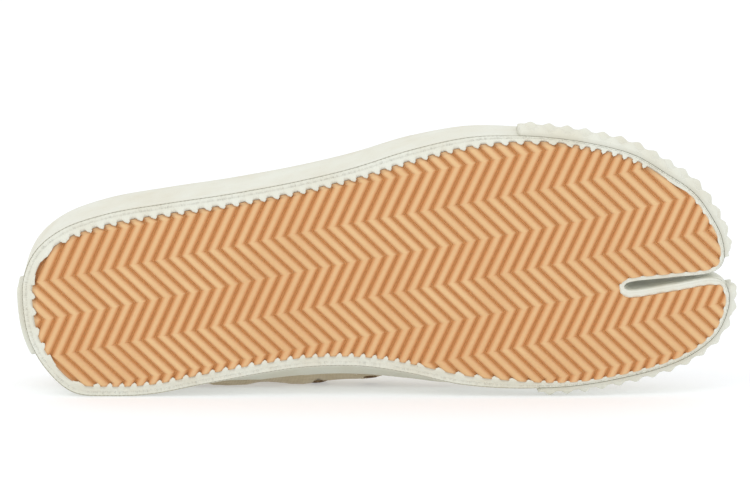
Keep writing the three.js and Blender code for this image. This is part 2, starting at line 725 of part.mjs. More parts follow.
// One flat strip of lace over the instep, from one eyelet to another
function makeStrip(start, end) {
  const steps = counts.lace;
  const depth = -(4 * clearance + eyeletWall + laceThickness / 2);
  const places = Array.from({ length: steps + 1 }, (_, i) => i / steps);
  const between = (name, f) => start[name] + (end[name] - start[name]) * f;
  const path = places.map((f) => instepAt(between('x', f), between('across', f), depth));
  const rows = path.map(({ point, normal }, i) => {
    const [before, after] = [path[Math.max(i - 1, 0)].point, path[Math.min(i + 1, steps)].point];
    const along = after.clone().sub(before).normalize();
    const side = normal.clone().cross(along).normalize();
    const edgeOf = (s) => point.clone().addScaledVector(side, (s * laceWidth) / 2);
    const corner = (s, t) => edgeOf(s).addScaledVector(normal, (t * laceThickness) / 2);
    return [corner(-1, 1), corner(1, 1), corner(1, -1), corner(-1, -1)];
  });
  return toManifold(makeGeometry([...skinRows(rows, false), ...capRows(rows)]));
}

function makeLace() {
  const other = ({ x, across }) => ({ x, across: -across });
  let lace = makeStrip(eyeletRows[0], other(eyeletRows[0]));
  for (let i = 1; i < eyeletPairs; i++) {
    const [front, back] = [eyeletRows[i - 1], eyeletRows[i]];
    lace = lace.add(makeStrip(front, other(back))).add(makeStrip(other(front), back));
  }
  return fromManifold(lace);
}

const vents = ventPlaces.map((x) => medialWallAt(x, ventHeight));
const laceHoles = eyeletRows.flatMap(({ x, across }) => [instepAt(x, -across), instepAt(x, across)]);

let canvas = toManifold(makeUpper());
for (const vent of vents) canvas = canvas.subtract(toManifold(makeHole(ventBore, vent)));
for (const hole of laceHoles) canvas = canvas.subtract(toManifold(makeHole(eyeletBore, hole)));

addPiece('outsole', makeOutsole(), 'gum');
addPiece('foxing', makeFoxing(), 'rubber');
addPiece('upper', fromManifold(canvas), 'canvas');
addPiece('insole', makePlate(soleThickness, soleThickness + insoleThickness, [insoleInset]), 'lining');
addPiece('toe_bumper_outer', makeBumper(placeFor(bumperStart, -1), cleftStart - bumperEnds.outer), 'rubber');
addPiece('toe_bumper_big', makeBumper(medialStart + bumperEnds.big, placeFor(bumperStart, 1)), 'rubber');
addPiece('heel_patch', makeHeelPatch(), 'rubber');
addPiece('tongue', makeTongue(), 'canvas');
addPiece('lace', makeLace(), 'cotton');
vents.forEach((vent, i) => addPiece(`vent_eyelet_${i + 1}`, makeEyelet(ventBore, ventFlange, vent), 'steel'));
laceHoles.forEach((hole, i) => {
  const name = `lace_eyelet_${Math.floor(i / 2) + 1}_${i % 2 ? 'medial' : 'lateral'}`;
  addPiece(name, makeEyelet(eyeletBore, eyeletFlange, hole), 'steel');
});

// The shoe lies on the face of its hull that is under its centre of mass, on the big-toe side
function restingDirection() {
  const points = [];
  const centre = new THREE.Vector3();
  let weight = 0;
  for (const mesh of shoe.children) {
    const { position } = mesh.geometry.attributes;
    const corner = (i) => new THREE.Vector3().fromBufferAttribute(position, i);
    for (let i = 0; i < position.count; i += 3) {
      const [a, b, c] = [corner(i), corner(i + 1), corner(i + 2)];
      const share = (a.dot(b.clone().cross(c)) / 6) * density.get(mesh);
      weight += share;
      centre.addScaledVector(a.clone().add(b).add(c), share / 4);
      points.push(a, b, c);
    }
  }
  centre.divideScalar(weight);
  const hull = new ConvexHull().setFromPoints(points);
  const under = hull.faces.filter((face) => {
    const foot = centre.clone().addScaledVector(face.normal, -face.distanceToPoint(centre));
    let side = face.edge;
    for (let i = 0; i < 3; i++) {
      const [tail, head] = [side.tail().point, side.head().point];
      const inside = face.normal.clone().cross(head.clone().sub(tail)).dot(foot.clone().sub(tail));
      if (inside < 0) return false;
      side = side.next;
    }
    return true;
  });
  under.sort((a, b) => b.normal.y - a.normal.y);
  return under[0].normal;
}

const down = restingDirection();
const forward = new THREE.Vector3(1, 0, 0).addScaledVector(down, -down.x).normalize();
const upright = down.clone().negate();
const turned = new THREE.Matrix4().makeBasis(forward, upright.clone().cross(forward), upright).transpose();
shoe.quaternion.setFromRotationMatrix(turned);
const box = new THREE.Box3().setFromObject(shoe, true);
const middle = box.getCenter(new THREE.Vector3());
shoe.position.set(-middle.x, -middle.y, -box.min.z);

export default shoe;
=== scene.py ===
import math

import bmesh
import bpy
import numpy as np
from mathutils import Matrix, Vector
from mathutils.bvhtree import BVHTree
from mathutils.geometry import delaunay_2d_cdt


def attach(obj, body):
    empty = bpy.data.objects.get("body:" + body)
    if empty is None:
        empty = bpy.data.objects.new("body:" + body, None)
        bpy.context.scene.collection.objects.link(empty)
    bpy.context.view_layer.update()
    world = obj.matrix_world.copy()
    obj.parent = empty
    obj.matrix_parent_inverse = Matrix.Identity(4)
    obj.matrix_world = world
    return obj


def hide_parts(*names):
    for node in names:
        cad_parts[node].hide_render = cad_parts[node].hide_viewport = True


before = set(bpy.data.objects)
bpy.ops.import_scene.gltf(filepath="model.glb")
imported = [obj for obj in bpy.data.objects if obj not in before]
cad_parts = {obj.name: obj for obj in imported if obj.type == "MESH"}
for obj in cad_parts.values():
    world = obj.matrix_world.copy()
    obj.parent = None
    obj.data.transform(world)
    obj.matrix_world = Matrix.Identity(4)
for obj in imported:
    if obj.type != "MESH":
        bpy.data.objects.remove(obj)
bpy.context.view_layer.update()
print("frame loaded")

# The shoe's sizes in millimetres, in shoe axes: x heel to toe, y towards the big toe, z up from the tread
last = {
    "length": 282, "heelWidth": 77.6, "ballWidth": 107.3, "instep": 84, "collar": 68, "archBelly": 18,
    "bellyFoot": 3.4, "bellyTop": 2.5, "wallBulge": 3.6, "bulgePower": 1.5, "toeSpring": 13, "archLift": 2.2,
    "power": 2.2,
}
cleft = {"gap": 2.6, "depth": 40.6, "line": 11.35, "flare": 3.8, "tape": 0.5}
layer = {
    "gap": 0.3, "sole": 5.4, "ridge": 1.7, "tapeRise": 1, "canvas": 2.2, "insole": 5, "inset": 3.7,
    "sideTape": 4, "toeTape": 1.4, "tapeTop": 27.5, "toeTapeTop": 21,
}
throat = {"front": 197, "back": 110, "gap": 17, "round": 11, "flare": 0.35, "tolerance": 0.01}
# How the shoe lies: the way down in shoe axes, and where the heel end of its centre line is in the row frame
lying = {"down": (-0.087005, 0.990079, -0.110334), "origin": (-141.6257, -41.2566, 34.0533)}
perMetre = 1000  # millimetres

# along, heel, ball, tape, bulge, arch: shares of the sizes above, as in the CAD source
lateralEdge = [
    [0.005, -0.0399, 0, 1, 0.8, 0],
    [0.0112, -0.1818, 0, 1, 0.8, 0],
    [0.0319, -0.3113, 0, 1, 0.8, 0],
    [0.0708, -0.408, 0, 1, 0.9, 0],
    [0.135, -0.4686, 0, 1, 1, 0],
    [0.22, -0.4968, 0, 1, 1, 0],
    [0.32, -0.36, -0.1153, 1, 1, 0],
    [0.4052, -0.25, -0.2157, 1, 1, 0],
    [0.4804, -0.13, -0.333, 1, 1, 0],
    [0.5651, 0, -0.479, 1, 1, 0],
    [0.6451, 0, -0.5073, 0.8, 0.9, 0],
    [0.7097, 0, -0.498, 0.3, 0.8, 0],
    [0.7578, 0, -0.479, 0, 0.7, 0],
    [0.8138, 0, -0.4417, 0, 0.6, 0],
    [0.8716, 0, -0.383, 0, 0.5, 0],
    [0.9151, 0, -0.3, 0, 0.5, 0],
    [0.9531, 0, -0.2138, 0, 0.5, 0],
    [0.9769, 0, -0.1131, 0, 0.5, 0],
    [0.9905, 0, -0.0196, 0, 0.5, 0],
    [0.9896, 0, 0.0641, 0, 0.3, 0],
]
medialEdge = [
    [0.989, 0, 0.142, 0, 0.3, 0],
    [0.9954, 0, 0.194, 0, 0.5, 0],
    [0.9903, 0, 0.2576, 0, 0.5, 0],
    [0.9734, 0, 0.332, 0, 0.5, 0],
    [0.9401, 0, 0.3898, 0, 0.5, 0],
    [0.9, 0, 0.4243, 0, 0.5, 0],
    [0.8501, 0, 0.4447, 0, 0.5, 0],
    [0.7845, 0, 0.4579, 0, 0.7, 0.02],
    [0.7223, 0, 0.4561, 0.3, 0.5, 0.03],
    [0.6611, 0, 0.4425, 0.8, 0.7, 0.15],
    [0.6001, 0, 0.4133, 1, 1, 0.36],
    [0.5354, 0, 0.3611, 1, 1, 0.62],
    [0.4701, 0.12, 0.2349, 1, 1, 0.82],
    [0.39, 0.26, 0.1178, 1, 1, 0.97],
    [0.32, 0.37, 0.047, 1, 1, 1],
    [0.2444, 0.4612, 0, 1, 1, 0.66],
    [0.1749, 0.4887, 0, 1, 0.8, 0.25],
    [0.1156, 0.4814, 0, 1, 0.7, 0.08],
    [0.063, 0.4455, 0, 1, 0.9, 0],
    [0.0295, 0.3186, 0, 1, 0.8, 0],
    [0.0091, 0.1534, 0, 1, 0.8, 0],
]
# along, side, rise of the ridge line over the foot
mainSpine = [
    [0.16, 0.0, 1.22], [0.25, 0.0, 1.14], [0.34, 0.005, 1.05], [0.4, 0.015, 1.0], [0.5, 0.03, 0.91],
    [0.6, 0.04, 0.8], [0.7, 0.045, 0.665], [0.787, 0.05, 0.54],
]
outerSpine = [[0.787, 0.05, 0.54], [0.84, -0.07, 0.445], [0.905, -0.165, 0.35]]
bigToeSpine = [[0.787, 0.05, 0.54], [0.85, 0.2, 0.455], [0.925, 0.278, 0.375]]
# along, rise
topline = [[0.0, 1.0], [0.06, 0.97], [0.14, 0.87], [0.25, 0.815], [0.33, 0.93], [0.4, 1.25]]
# along, spring, arch
bottomLine = [
    [0.0, 0.06, 0], [0.04, 0.0, 0], [0.27, 0, 0], [0.36, 0, 0.6], [0.44, 0, 1], [0.53, 0, 0.6],
    [0.62, 0, 0], [0.74, 0.0, 0], [0.83, 0.18, 0], [0.92, 0.54, 0], [1.0, 1.0, 0],
]


def unit(v):
    return v / np.maximum(np.linalg.norm(v, axis=-1, keepdims=True), 1e-12)


# Smooth curve through a table's rows, read at values of its first column
def readTable(rows, at):
    table = np.array(rows, float)
    keys, values = table[:, 0], table[:, 1:]
    at = np.clip(np.asarray(at, float), keys[0], keys[-1])
    k = np.clip(np.searchsorted(keys, at, side="left") - 1, 0, len(keys) - 2)
    steps = np.diff(keys)
    slopes = np.diff(values, axis=0) / steps[:, None]
    both = slopes[:-1] * slopes[1:]
    total = slopes[:-1] + slopes[1:]
    inner = np.where(both > 0, 2 * both / np.where(both > 0, total, 1), 0)
    tangents = np.concatenate([slopes[:1], inner, slopes[-1:]])
    step = steps[k][..., None]
    t = ((at - keys[k]) / steps[k])[..., None]
    rise = (values[k + 1] - values[k]) * (3 - 2 * t) * t * t
    bend = tangents[k] * t * (1 - t) ** 2 - tangents[k + 1] * t * t * (1 - t)
    return values[k] + rise + step * bend


def bottomRise(x):
    row = readTable(bottomLine, x / last["length"])
    return row[..., 0] * last["toeSpring"] + row[..., 1] * last["archLift"]


def lift(points):
    raised = np.array(points, float)
    raised[..., 2] += bottomRise(raised[..., 0])
    return raised


def edgePoints():
    def shape(row):
        along, heel, ball = row[:3]
        return [along * last["length"], heel * last["heelWidth"] + ball * last["ballWidth"], *row[3:]]

    mouth = lateralEdge[-1][0] * last["length"]
    root = mouth - cleft["depth"] + cleft["gap"] / 2
    near = mouth - cleft["flare"]

    def wall(x, side):
        return [x, cleft["line"] + side * cleft["gap"] / 2, cleft["tape"] if side > 0 else 0, 0.1, 0]

    inner = [wall(x, -1) for x in (near, (near + root) / 2, root)]
    inner.append([mouth - cleft["depth"], cleft["line"], 0.2, 0.1, 0])
    inner += [wall(x, 1) for x in (root, (near + root) / 2, near)]
    return np.array([shape(r) for r in lateralEdge] + inner + [shape(r) for r in medialEdge], float)


edge = edgePoints()
cleftStart = len(lateralEdge)
medialStart = len(edge) - len(medialEdge)


# Centripetal curve through the edge's points, at places u in the list
def edgeAt(u):
    u = np.asarray(u, float)
    k = np.floor(u).astype(int)
    p0, p1, p2, p3 = (edge[(k + i) % len(edge)] for i in (-1, 0, 1, 2))
    knot = lambda p, q: np.sqrt(np.hypot(p[..., 0] - q[..., 0], p[..., 1] - q[..., 1]))[..., None]
    d0, d1, d2 = knot(p0, p1), knot(p1, p2), knot(p2, p3)
    t = (u - k)[..., None]
    m1 = d1 * ((p1 - p0) / d0 - (p2 - p0) / (d0 + d1) + (p2 - p1) / d1)
    m2 = d1 * ((p2 - p1) / d1 - (p3 - p1) / (d1 + d2) + (p3 - p2) / d2)
    curve = p1 + t * (m1 + t * (3 * (p2 - p1) - 2 * m1 - m2 + t * (2 * (p1 - p2) + m1 + m2)))
    straight = p1 + (p2 - p1) * t
    return np.concatenate([curve[..., :2], straight[..., 2:]], axis=-1)


def makeTrack(start, end):
    places = np.linspace(start, end, math.ceil(16 * (end - start)) + 1)
    steps = np.linalg.norm(np.diff(edgeAt(places)[:, :2], axis=0), axis=1)
    lengths = np.concatenate([[0], np.cumsum(steps)])
    return {"to": end, "places": places, "lengths": lengths, "length": lengths[-1]}


def placeFor(x, side):
    low, high = (0, cleftStart - 3) if side < 0 else (len(edge), medialStart + 2)
    for _ in range(40):
        middle = (low + high) / 2
        if edgeAt(middle)[0] < x:
            low = middle
        else:
            high = middle
    return (low + high) / 2


heelFan = mainSpine[0][0] * last["length"]
branch = mainSpine[-1][0] * last["length"]
throatShare = (throat["front"] - heelFan) / (branch - heelFan)
lateralFan, medialFan = cleftStart - 5, medialStart + 4
# start, end, ridge line, where its ribs start and finish on it, stretch whose ribs meet this one's
stretches = [
    (0, placeFor(heelFan, -1), mainSpine, 0, 0, 12),
    (placeFor(heelFan, -1), placeFor(throat["front"], -1), mainSpine, 0, throatShare, 11),
    (placeFor(throat["front"], -1), placeFor(branch, -1), mainSpine, throatShare, 1, 10),
    (placeFor(branch, -1), lateralFan, outerSpine, 0, 1, 5),
    (lateralFan, cleftStart, outerSpine, 1, 1, 4),
    (cleftStart, cleftStart + 2, outerSpine, 1, 0, 3),
    (cleftStart + 2, cleftStart + 4, outerSpine, 0, 0, 6),
    (cleftStart + 4, cleftStart + 6, bigToeSpine, 0, 1, 9),
    (cleftStart + 6, medialFan, bigToeSpine, 1, 1, 8),
    (medialFan, placeFor(branch, 1), bigToeSpine, 1, 0, 7),
    (placeFor(branch, 1), placeFor(throat["front"], 1), mainSpine, 1, throatShare, 2),
    (placeFor(throat["front"], 1), placeFor(heelFan, 1), mainSpine, throatShare, 0, 1),
    (placeFor(heelFan, 1), len(edge), mainSpine, 0, 0, 0),
]
stretches = [
    {**makeTrack(start, end), "spine": spine, "start": first, "finish": finish, "twin": twin}
    for start, end, spine, first, finish, twin in stretches
]
edgeStep = 0.02  # in the edge's list, either side of a rib, for the way outward


def throatEdge(x):
    into = np.clip((throat["front"] - x) / throat["round"], 0, 1)
    wider = 1 + throat["flare"] * (throat["front"] - x) / (throat["front"] - throat["back"])
    return throat["gap"] / 2 * wider * np.sqrt(1 - (1 - into) ** 2)


def reachAt(v):
    return 1 - (1 - np.clip(v, 0, 1) ** last["power"]) ** (1 / last["power"])


def levelAt(reach):
    return (1 - np.clip(1 - reach, 0, 1) ** last["power"]) ** (1 / last["power"])


# Ribs run from the edge of the sole up the wall and over to the ridge line
def ribsOn(index, f):
    stretch = stretches[index]
    f = np.asarray(f, float)
    u = np.interp(f * stretch["length"], stretch["lengths"], stretch["places"])
    row = edgeAt(u)
    turn = edgeAt(u + edgeStep) - edgeAt(u - edgeStep)
    out = unit(np.stack([turn[:, 1], -turn[:, 0]], axis=-1))
    first = stretch["spine"][0][0]
    share = stretch["start"] + (stretch["finish"] - stretch["start"]) * f
    along = first + (stretch["spine"][-1][0] - first) * share
    side, rise = readTable(stretch["spine"], along).T
    top = np.stack([along * last["length"], side * last["ballWidth"], rise * last["instep"]], axis=-1)
    lower = row[:, :2]
    thickness = layer["toeTape"] + (layer["sideTape"] - layer["toeTape"]) * row[:, 2]
    foot = lower - out * (thickness + layer["gap"])[:, None]
    span = np.linalg.norm(top[:, :2] - foot, axis=1)
    ribs = {
        "u": u, "lower": lower, "foot": foot, "out": out, "top": top, "thickness": thickness, "span": span,
        "inward": (top[:, :2] - foot) / span[:, None], "bulge": row[:, 3] * last["wallBulge"],
        "arch": row[:, 4] * last["archBelly"], "end": np.ones(len(u)),
        "tapeTop": layer["toeTapeTop"] + (layer["tapeTop"] - layer["toeTapeTop"]) * row[:, 2],
    }
    if stretch["spine"] is mainSpine:
        rim = readTable(topline, lower[:, 0] / last["length"])[:, 0] * last["collar"]
        gapLevel = levelAt(1 - np.minimum(throatEdge(np.minimum(top[:, 0], throat["front"])) / span, 1))
        opening = np.minimum(gapLevel, (rim - layer["sole"]) / (top[:, 2] - layer["sole"]))
        ribs["end"] = np.where(top[:, 0] < throat["front"] - throat["tolerance"], opening, 1)
    return ribs


def joinRibs(parts):
    return {key: np.concatenate([part[key] for part in parts]) for key in parts[0]}


def ribLoop(spacing):
    parts = []
    for index, stretch in enumerate(stretches):
        longest = max(stretch["length"], stretches[stretch["twin"]]["length"])
        count = max(2, math.ceil(longest / spacing))
        parts.append(ribsOn(index, np.arange(count) / count))
    return joinRibs(parts)


def ribsAt(places):
    parts = []
    for u in np.atleast_1d(places):
        place = u % len(edge)
        index = next(i for i, s in enumerate(stretches) if place <= s["to"])
        s = stretches[index]
        parts.append(ribsOn(index, [np.interp(place, s["places"], s["lengths"]) / s["length"]]))
    return joinRibs(parts)


def ribsAtX(x, side):
    x, side = np.atleast_1d(x).astype(float), np.broadcast_to(side, np.shape(np.atleast_1d(x)))
    share = (x - heelFan) / (branch - heelFan)
    parts = {}
    for index in (1, 2, 10, 11):
        s = stretches[index]
        chosen = ((index < 5) == (side < 0)) & ((index in (1, 11)) == (share <= throatShare))
        where = np.nonzero(chosen)[0]
        if len(where):
            parts[index] = (where, ribsOn(index, (share[where] - s["start"]) / (s["finish"] - s["start"])))
    order = np.concatenate([where for where, _ in parts.values()])
    joined = joinRibs([ribs for _, ribs in parts.values()])
    back = np.argsort(order)
    return {key: value[back] for key, value in joined.items()}


def column(values, like):
    return values.reshape(values.shape[0], *([1] * (like.ndim - 1)), *values.shape[1:])


# Points on the outside of the upper at levels between 0 at the sole and 1 at the ridge line
def surfaceAt(ribs, level):
    level = np.clip(np.asarray(level, float), 0, 1)
    crown = 4 * level * (1 - level)
    belly = crown ** np.where(level < 0.5, last["bellyFoot"], last["bellyTop"])
    out = column(ribs["bulge"], level) * crown ** last["bulgePower"] + column(ribs["arch"], level) * belly
    reach = reachAt(level) * column(ribs["span"], level)
    flat = column(ribs["foot"], level) + column(ribs["inward"], level) * reach[..., None]
    flat = flat + column(ribs["out"], level) * out[..., None]
    z = layer["sole"] + level * (column(ribs["top"][:, 2], level) - layer["sole"])
    return slackened(ribs, np.concatenate([flat, z[..., None]], axis=-1))


# Slack canvas of the waist: where over the tape it starts and ends, and how far it takes to sag and to fade
slack = {"start": 0.4, "roll": 5.2, "end": 26, "fade": 15, "steepest": 0.5}
# heel distance, height of the slack canvas over the floor
slackHeights = [
    [52, 9], [64, 1.2], [72, 0.15], [94, 0.15], [103, 0.8], [111, 1.6], [122, 2.6], [131, 3.5], [140, 4.2],
    [152, 7], [160, 20],
]


# The slack canvas sinks towards the floor
def slackened(ribs, points):
    near = column(ribs["arch"] > 0, points[..., 0]) & (points[..., 2] > layer["tapeTop"] + slack["start"])
    z = points[..., 2] - layer["tapeTop"] - slack["start"]
    share = np.clip(z / slack["roll"], 0, 1) * np.clip((slack["end"] - z) / slack["fade"], 0, 1)
    share = np.where(near, np.sin(share * math.pi / 2), 0)
    height = toRow(lift(points.reshape(-1, 3)))[:, 2].reshape(z.shape) * perMetre
    sink = np.maximum(height - np.interp(points[..., 0], *zip(*slackHeights)), 0) * share
    out = column(ribs["out"], z)
    points[..., :2] += out * (sink / np.maximum(out[..., 1], slack["steepest"]))[..., None]
    return points


# Points on a layer outside the upper at heights z: part 0 is the upper, 1 the outside of the tape
def layerAt(ribs, z, part, beyond=0.0):
    z = np.broadcast_to(z, (len(ribs["u"]), np.shape(z)[-1]))
    level = (z - layer["sole"]) / (column(ribs["top"][:, 2], z) - layer["sole"])
    points = surfaceAt(ribs, level)
    across = column(ribs["lower"] - ribs["foot"], z) * np.broadcast_to(part, z.shape)[..., None]
    points[..., :2] += across + column(ribs["out"], z) * np.broadcast_to(beyond, z.shape)[..., None]
    points[..., 2] = z
    return points


# From shoe axes in millimetres to the row frame in metres
def toRow(points):
    down = np.array(lying["down"])
    forward = unit(np.array([1.0, 0, 0]) - down * down[0])
    turned = np.stack([forward, np.cross(-down, forward), -down], axis=-1)
    return (np.asarray(points) @ turned + np.array(lying["origin"])) / perMetre


def normalsOf(grid, closed):
    if closed:
        along = np.roll(grid, -1, axis=0) - np.roll(grid, 1, axis=0)
    else:
        along = np.gradient(grid, axis=0)
    return unit(np.cross(along, np.gradient(grid, axis=1)))


print("shape ready")


# Quads of a grid of points, joined round where a direction closes on itself
def gridQuads(rows, columns, around=False, across=False):
    steps = np.arange(rows if around else rows - 1), np.arange(columns if across else columns - 1)
    i, j = np.meshgrid(*steps, indexing="ij")
    corner = lambda a, b: (a % rows) * columns + b % columns
    corners = [corner(i, j), corner(i + 1, j), corner(i + 1, j + 1), corner(i, j + 1)]
    return np.stack(corners, axis=-1).reshape(-1, 4)


# Quads that close the two ends of a grid whose rows are closed sections
def endQuads(rows, columns):
    half = np.arange(columns // 2 - 1)
    first = np.stack([half, half + 1, columns - 2 - half, columns - 1 - half], axis=-1)
    return np.concatenate([first, first[:, ::-1] + (rows - 1) * columns])


# The same with one polygon at each end
def endFaces(rows, columns):
    return [list(range(columns)), [(rows - 1) * columns + k for k in reversed(range(columns))]]


def lengthsOf(points, closed=False):
    steps = np.linalg.norm(np.diff(points, axis=0), axis=-1)
    lengths = np.concatenate([np.zeros((1, *steps.shape[1:])), np.cumsum(steps, axis=0)])
    return (lengths, lengths[-1] + np.linalg.norm(points[0] - points[-1], axis=-1)) if closed else lengths


def gridUV(along, across, shape):
    return np.stack([np.broadcast_to(along, shape), np.broadcast_to(across, shape)], axis=-1).reshape(-1, 2)


def setUV(mesh, uv, wrap):
    index = np.empty(len(mesh.loops), int)
    mesh.loops.foreach_get("vertex_index", index)
    corners = uv[index]
    if wrap:
        for face in mesh.polygons:
            part = corners[face.loop_start:face.loop_start + face.loop_total, 0]
            if part.max() - part.min() > wrap / 2:
                part[part < wrap / 2] += wrap
    mesh.uv_layers.new(name="UVMap").data.foreach_set("uv", corners.astype(np.float32).ravel())


def addObject(name, data):
    added = bpy.data.objects.new(name, data)
    bpy.context.collection.objects.link(added)
    return added


# A piece from points in shoe axes, with faces outward, a UV in millimetres and named values at its points
def makePiece(name, points, faces, material, nodes=(), uv=None, wrap=0, values=None, merge=0, sharp=50):
    mesh = bpy.data.meshes.new(name)
    mesh.from_pydata(toRow(points).tolist(), [], [f.tolist() if hasattr(f, "tolist") else f for f in faces])
    if uv is not None:
        setUV(mesh, np.asarray(uv), wrap)
    for key, value in (values or {}).items():
        data = mesh.attributes.new(key, "FLOAT", "POINT").data
        data.foreach_set("value", np.asarray(value, np.float32).ravel())
    work = bmesh.new()
    work.from_mesh(mesh)
    if merge:
        bmesh.ops.remove_doubles(work, verts=work.verts, dist=merge / perMetre)
    bmesh.ops.recalc_face_normals(work, faces=work.faces)
    work.to_mesh(mesh)
    work.free()
    mesh.polygons.foreach_set("use_smooth", [True] * len(mesh.polygons))
    mesh.set_sharp_from_angle(angle=math.radians(sharp))
    mesh.materials.append(material)
    piece = addObject(name, mesh)
    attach(piece, "root")
    if nodes:
        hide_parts(*nodes)
    return piece


# A material's nodes: inputs are values or the sockets of other nodes
def addNode(tree, kind, inputs=None, **settings):
    node = tree.nodes.new(kind)
    for key, value in settings.items():
        setattr(node, key, value)
    for key, value in (inputs or {}).items():
        if isinstance(value, bpy.types.NodeSocket):
            tree.links.new(value, node.inputs[key])
        else:
            node.inputs[key].default_value = value
    return node


# Linear colour from an sRGB hex
def tint(code):
    parts = [int(code[i:i + 2], 16) / 255 for i in (0, 2, 4)]
    return (*[p / 12.92 if p <= 0.04045 else ((p + 0.055) / 1.055) ** 2.4 for p in parts], 1)


def newMaterial(name, **constants):
    material = bpy.data.materials.new(name)
    material.use_nodes = True
    tree = material.node_tree
    shader = tree.nodes["Principled BSDF"]
    for key, value in constants.items():
        shader.inputs[key.replace("_", " ")].default_value = value
    return material, tree, shader


def connect(tree, shader, **sockets):
    for key, value in sockets.items():
        tree.links.new(value, shader.inputs[key.replace("_", " ")])


def mixColors(tree, share, first, second):
    node = addNode(tree, "ShaderNodeMix", {0: share, 6: first, 7: second}, data_type="RGBA", blend_type="MIX")
    return node.outputs[2]


def ramp(tree, value, low, high, start=0.0, end=1.0):
    inputs = {"Value": value, "From Min": low, "From Max": high, "To Min": start, "To Max": end}
    return addNode(tree, "ShaderNodeMapRange", inputs).outputs["Result"]


def combine(tree, operation, first, second):
    return addNode(tree, "ShaderNodeMath", {0: first, 1: second}, operation=operation).outputs[0]


def valueOf(tree, name):
    return addNode(tree, "ShaderNodeAttribute", attribute_name=name).outputs["Fac"]


# Noise with features of a size in millimetres, over the piece itself
def noise(tree, size, detail=3.0):
    place = addNode(tree, "ShaderNodeTexCoord").outputs["Object"]
    inputs = {"Vector": place, "Scale": perMetre / size, "Detail": detail, "Roughness": 0.55}
    return addNode(tree, "ShaderNodeTexNoise", inputs).outputs["Fac"]


def bump(tree, height, depth, strength=1.0, before=None):
    inputs = {"Height": height, "Distance": depth / perMetre, "Strength": strength}
    if before is not None:
        inputs["Normal"] = before
    return addNode(tree, "ShaderNodeBump", inputs).outputs["Normal"]


def mottle(tree, size, low, high, start=0.0, end=1.0, detail=3.0):
    return ramp(tree, noise(tree, size, detail), low, high, start, end)


def grain(tree, size, depth, strength, detail=3.0, before=None):
    return bump(tree, noise(tree, size, detail), depth, strength, before)


# Gum rubber: warm tan, paler along the ridge tops and darker down the flanks into more orange grooves as painted
# highlight and shade, with painted light that differs between the zigzag's two arms, a painted shadow at the
# ridge ends by the lip, and a soft sheen
gum = {
    "colors": {
        # top and cloud tint the ridge tops; arm, steep and flat carry painted light that differs between the
        # zigzag's arms; groove is painted shade; rim is painted shadow
        "top": "E0BA87", "cloud": "D9AE7A", "arm": "DBB080", "steep": "D49E6A", "flat": "D6A776",
        "groove": "CF965B", "rim": "84552F",
    },
    "cloud": {"size": 26, "low": 0.38, "high": 0.66, "detail": 4},
    "speck": {"size": 0.7, "low": 0.62, "high": 0.8, "end": 0.22, "detail": 2},
    "gloss": {"size": 9, "low": 0.3, "high": 0.7, "start": 0.4, "end": 0.55},
    "grain": {"size": 0.45, "depth": 0.05, "strength": 0.7},
    "waves": {"size": 5, "depth": 0.12, "strength": 0.6, "detail": 2},
    "armShare": 0.55, "topDepth": 0.12, "grooveDepth": 0.55, "rimShare": 0.85, "rimOnTop": 0.4,
    "rimWidth": {"low": 1.6, "high": 0.3},
}


def makeGumRubber():
    colors = {name: tint(code) for name, code in gum["colors"].items()}
    material, tree, shader = newMaterial("gumRubber", Roughness=0.46)
    depth, rim, arm = (valueOf(tree, name) for name in ("depth", "rim", "arm"))
    top = mixColors(tree, mottle(tree, **gum["cloud"]), colors["top"], colors["cloud"])
    # painted light: on one arm of the zigzag the tops take the arm colour and the flanks the steep colour, on the
    # other the flat colour, as if lit from one side
    onArm = combine(tree, "MULTIPLY", ramp(tree, arm, 0, 1), gum["armShare"])
    top = mixColors(tree, onArm, top, colors["arm"])
    top = mixColors(tree, mottle(tree, **gum["speck"]), top, colors["flat"])
    side = mixColors(tree, ramp(tree, arm, -0.5, 0.5), colors["flat"], colors["steep"])
    # painted shade: darker from the ridge tops down the flanks, and the groove colour deep in the grooves
    color = mixColors(tree, ramp(tree, depth, 0.0, gum["topDepth"]), top, side)
    color = mixColors(tree, ramp(tree, depth, gum["grooveDepth"], 1), color, colors["groove"])
    # painted shadow where the ridge ends meet the lip, weaker on the ridge tops
    below = ramp(tree, depth, 0.0, gum["topDepth"], gum["rimOnTop"], 1)
    corner = combine(tree, "MULTIPLY", ramp(tree, rim, **gum["rimWidth"]), below)
    color = mixColors(tree, combine(tree, "MULTIPLY", corner, gum["rimShare"]), color, colors["rim"])
    normal = grain(tree, before=grain(tree, **gum["grain"]), **gum["waves"])
    connect(tree, shader, Base_Color=color, Roughness=mottle(tree, **gum["gloss"]), Normal=normal)
    return material


# White rubber: creamy, half matt, a little soiled in its low places, knurled where knurl is 1
white = {
    "colors": {"plain": "DFE0D4", "warm": "D8D5C4", "seam": "8F8874", "dirt": "BFB59B"},
    "cloud": {"size": 18, "low": 0.35, "high": 0.7, "detail": 4},
    "dirt": {"size": 1.4, "low": 0.62, "high": 0.82, "end": 0.3},
    "gloss": {"size": 6, "low": 0.3, "high": 0.7, "start": 0.42, "end": 0.58},
    "grain": {"size": 0.6, "depth": 0.04, "strength": 0.6},
    "dots": {"Scale": 1.25, "Randomness": 0.35}, "dotSize": 0.5, "knurlDepth": 0.3, "knurlShade": 0.16,
}


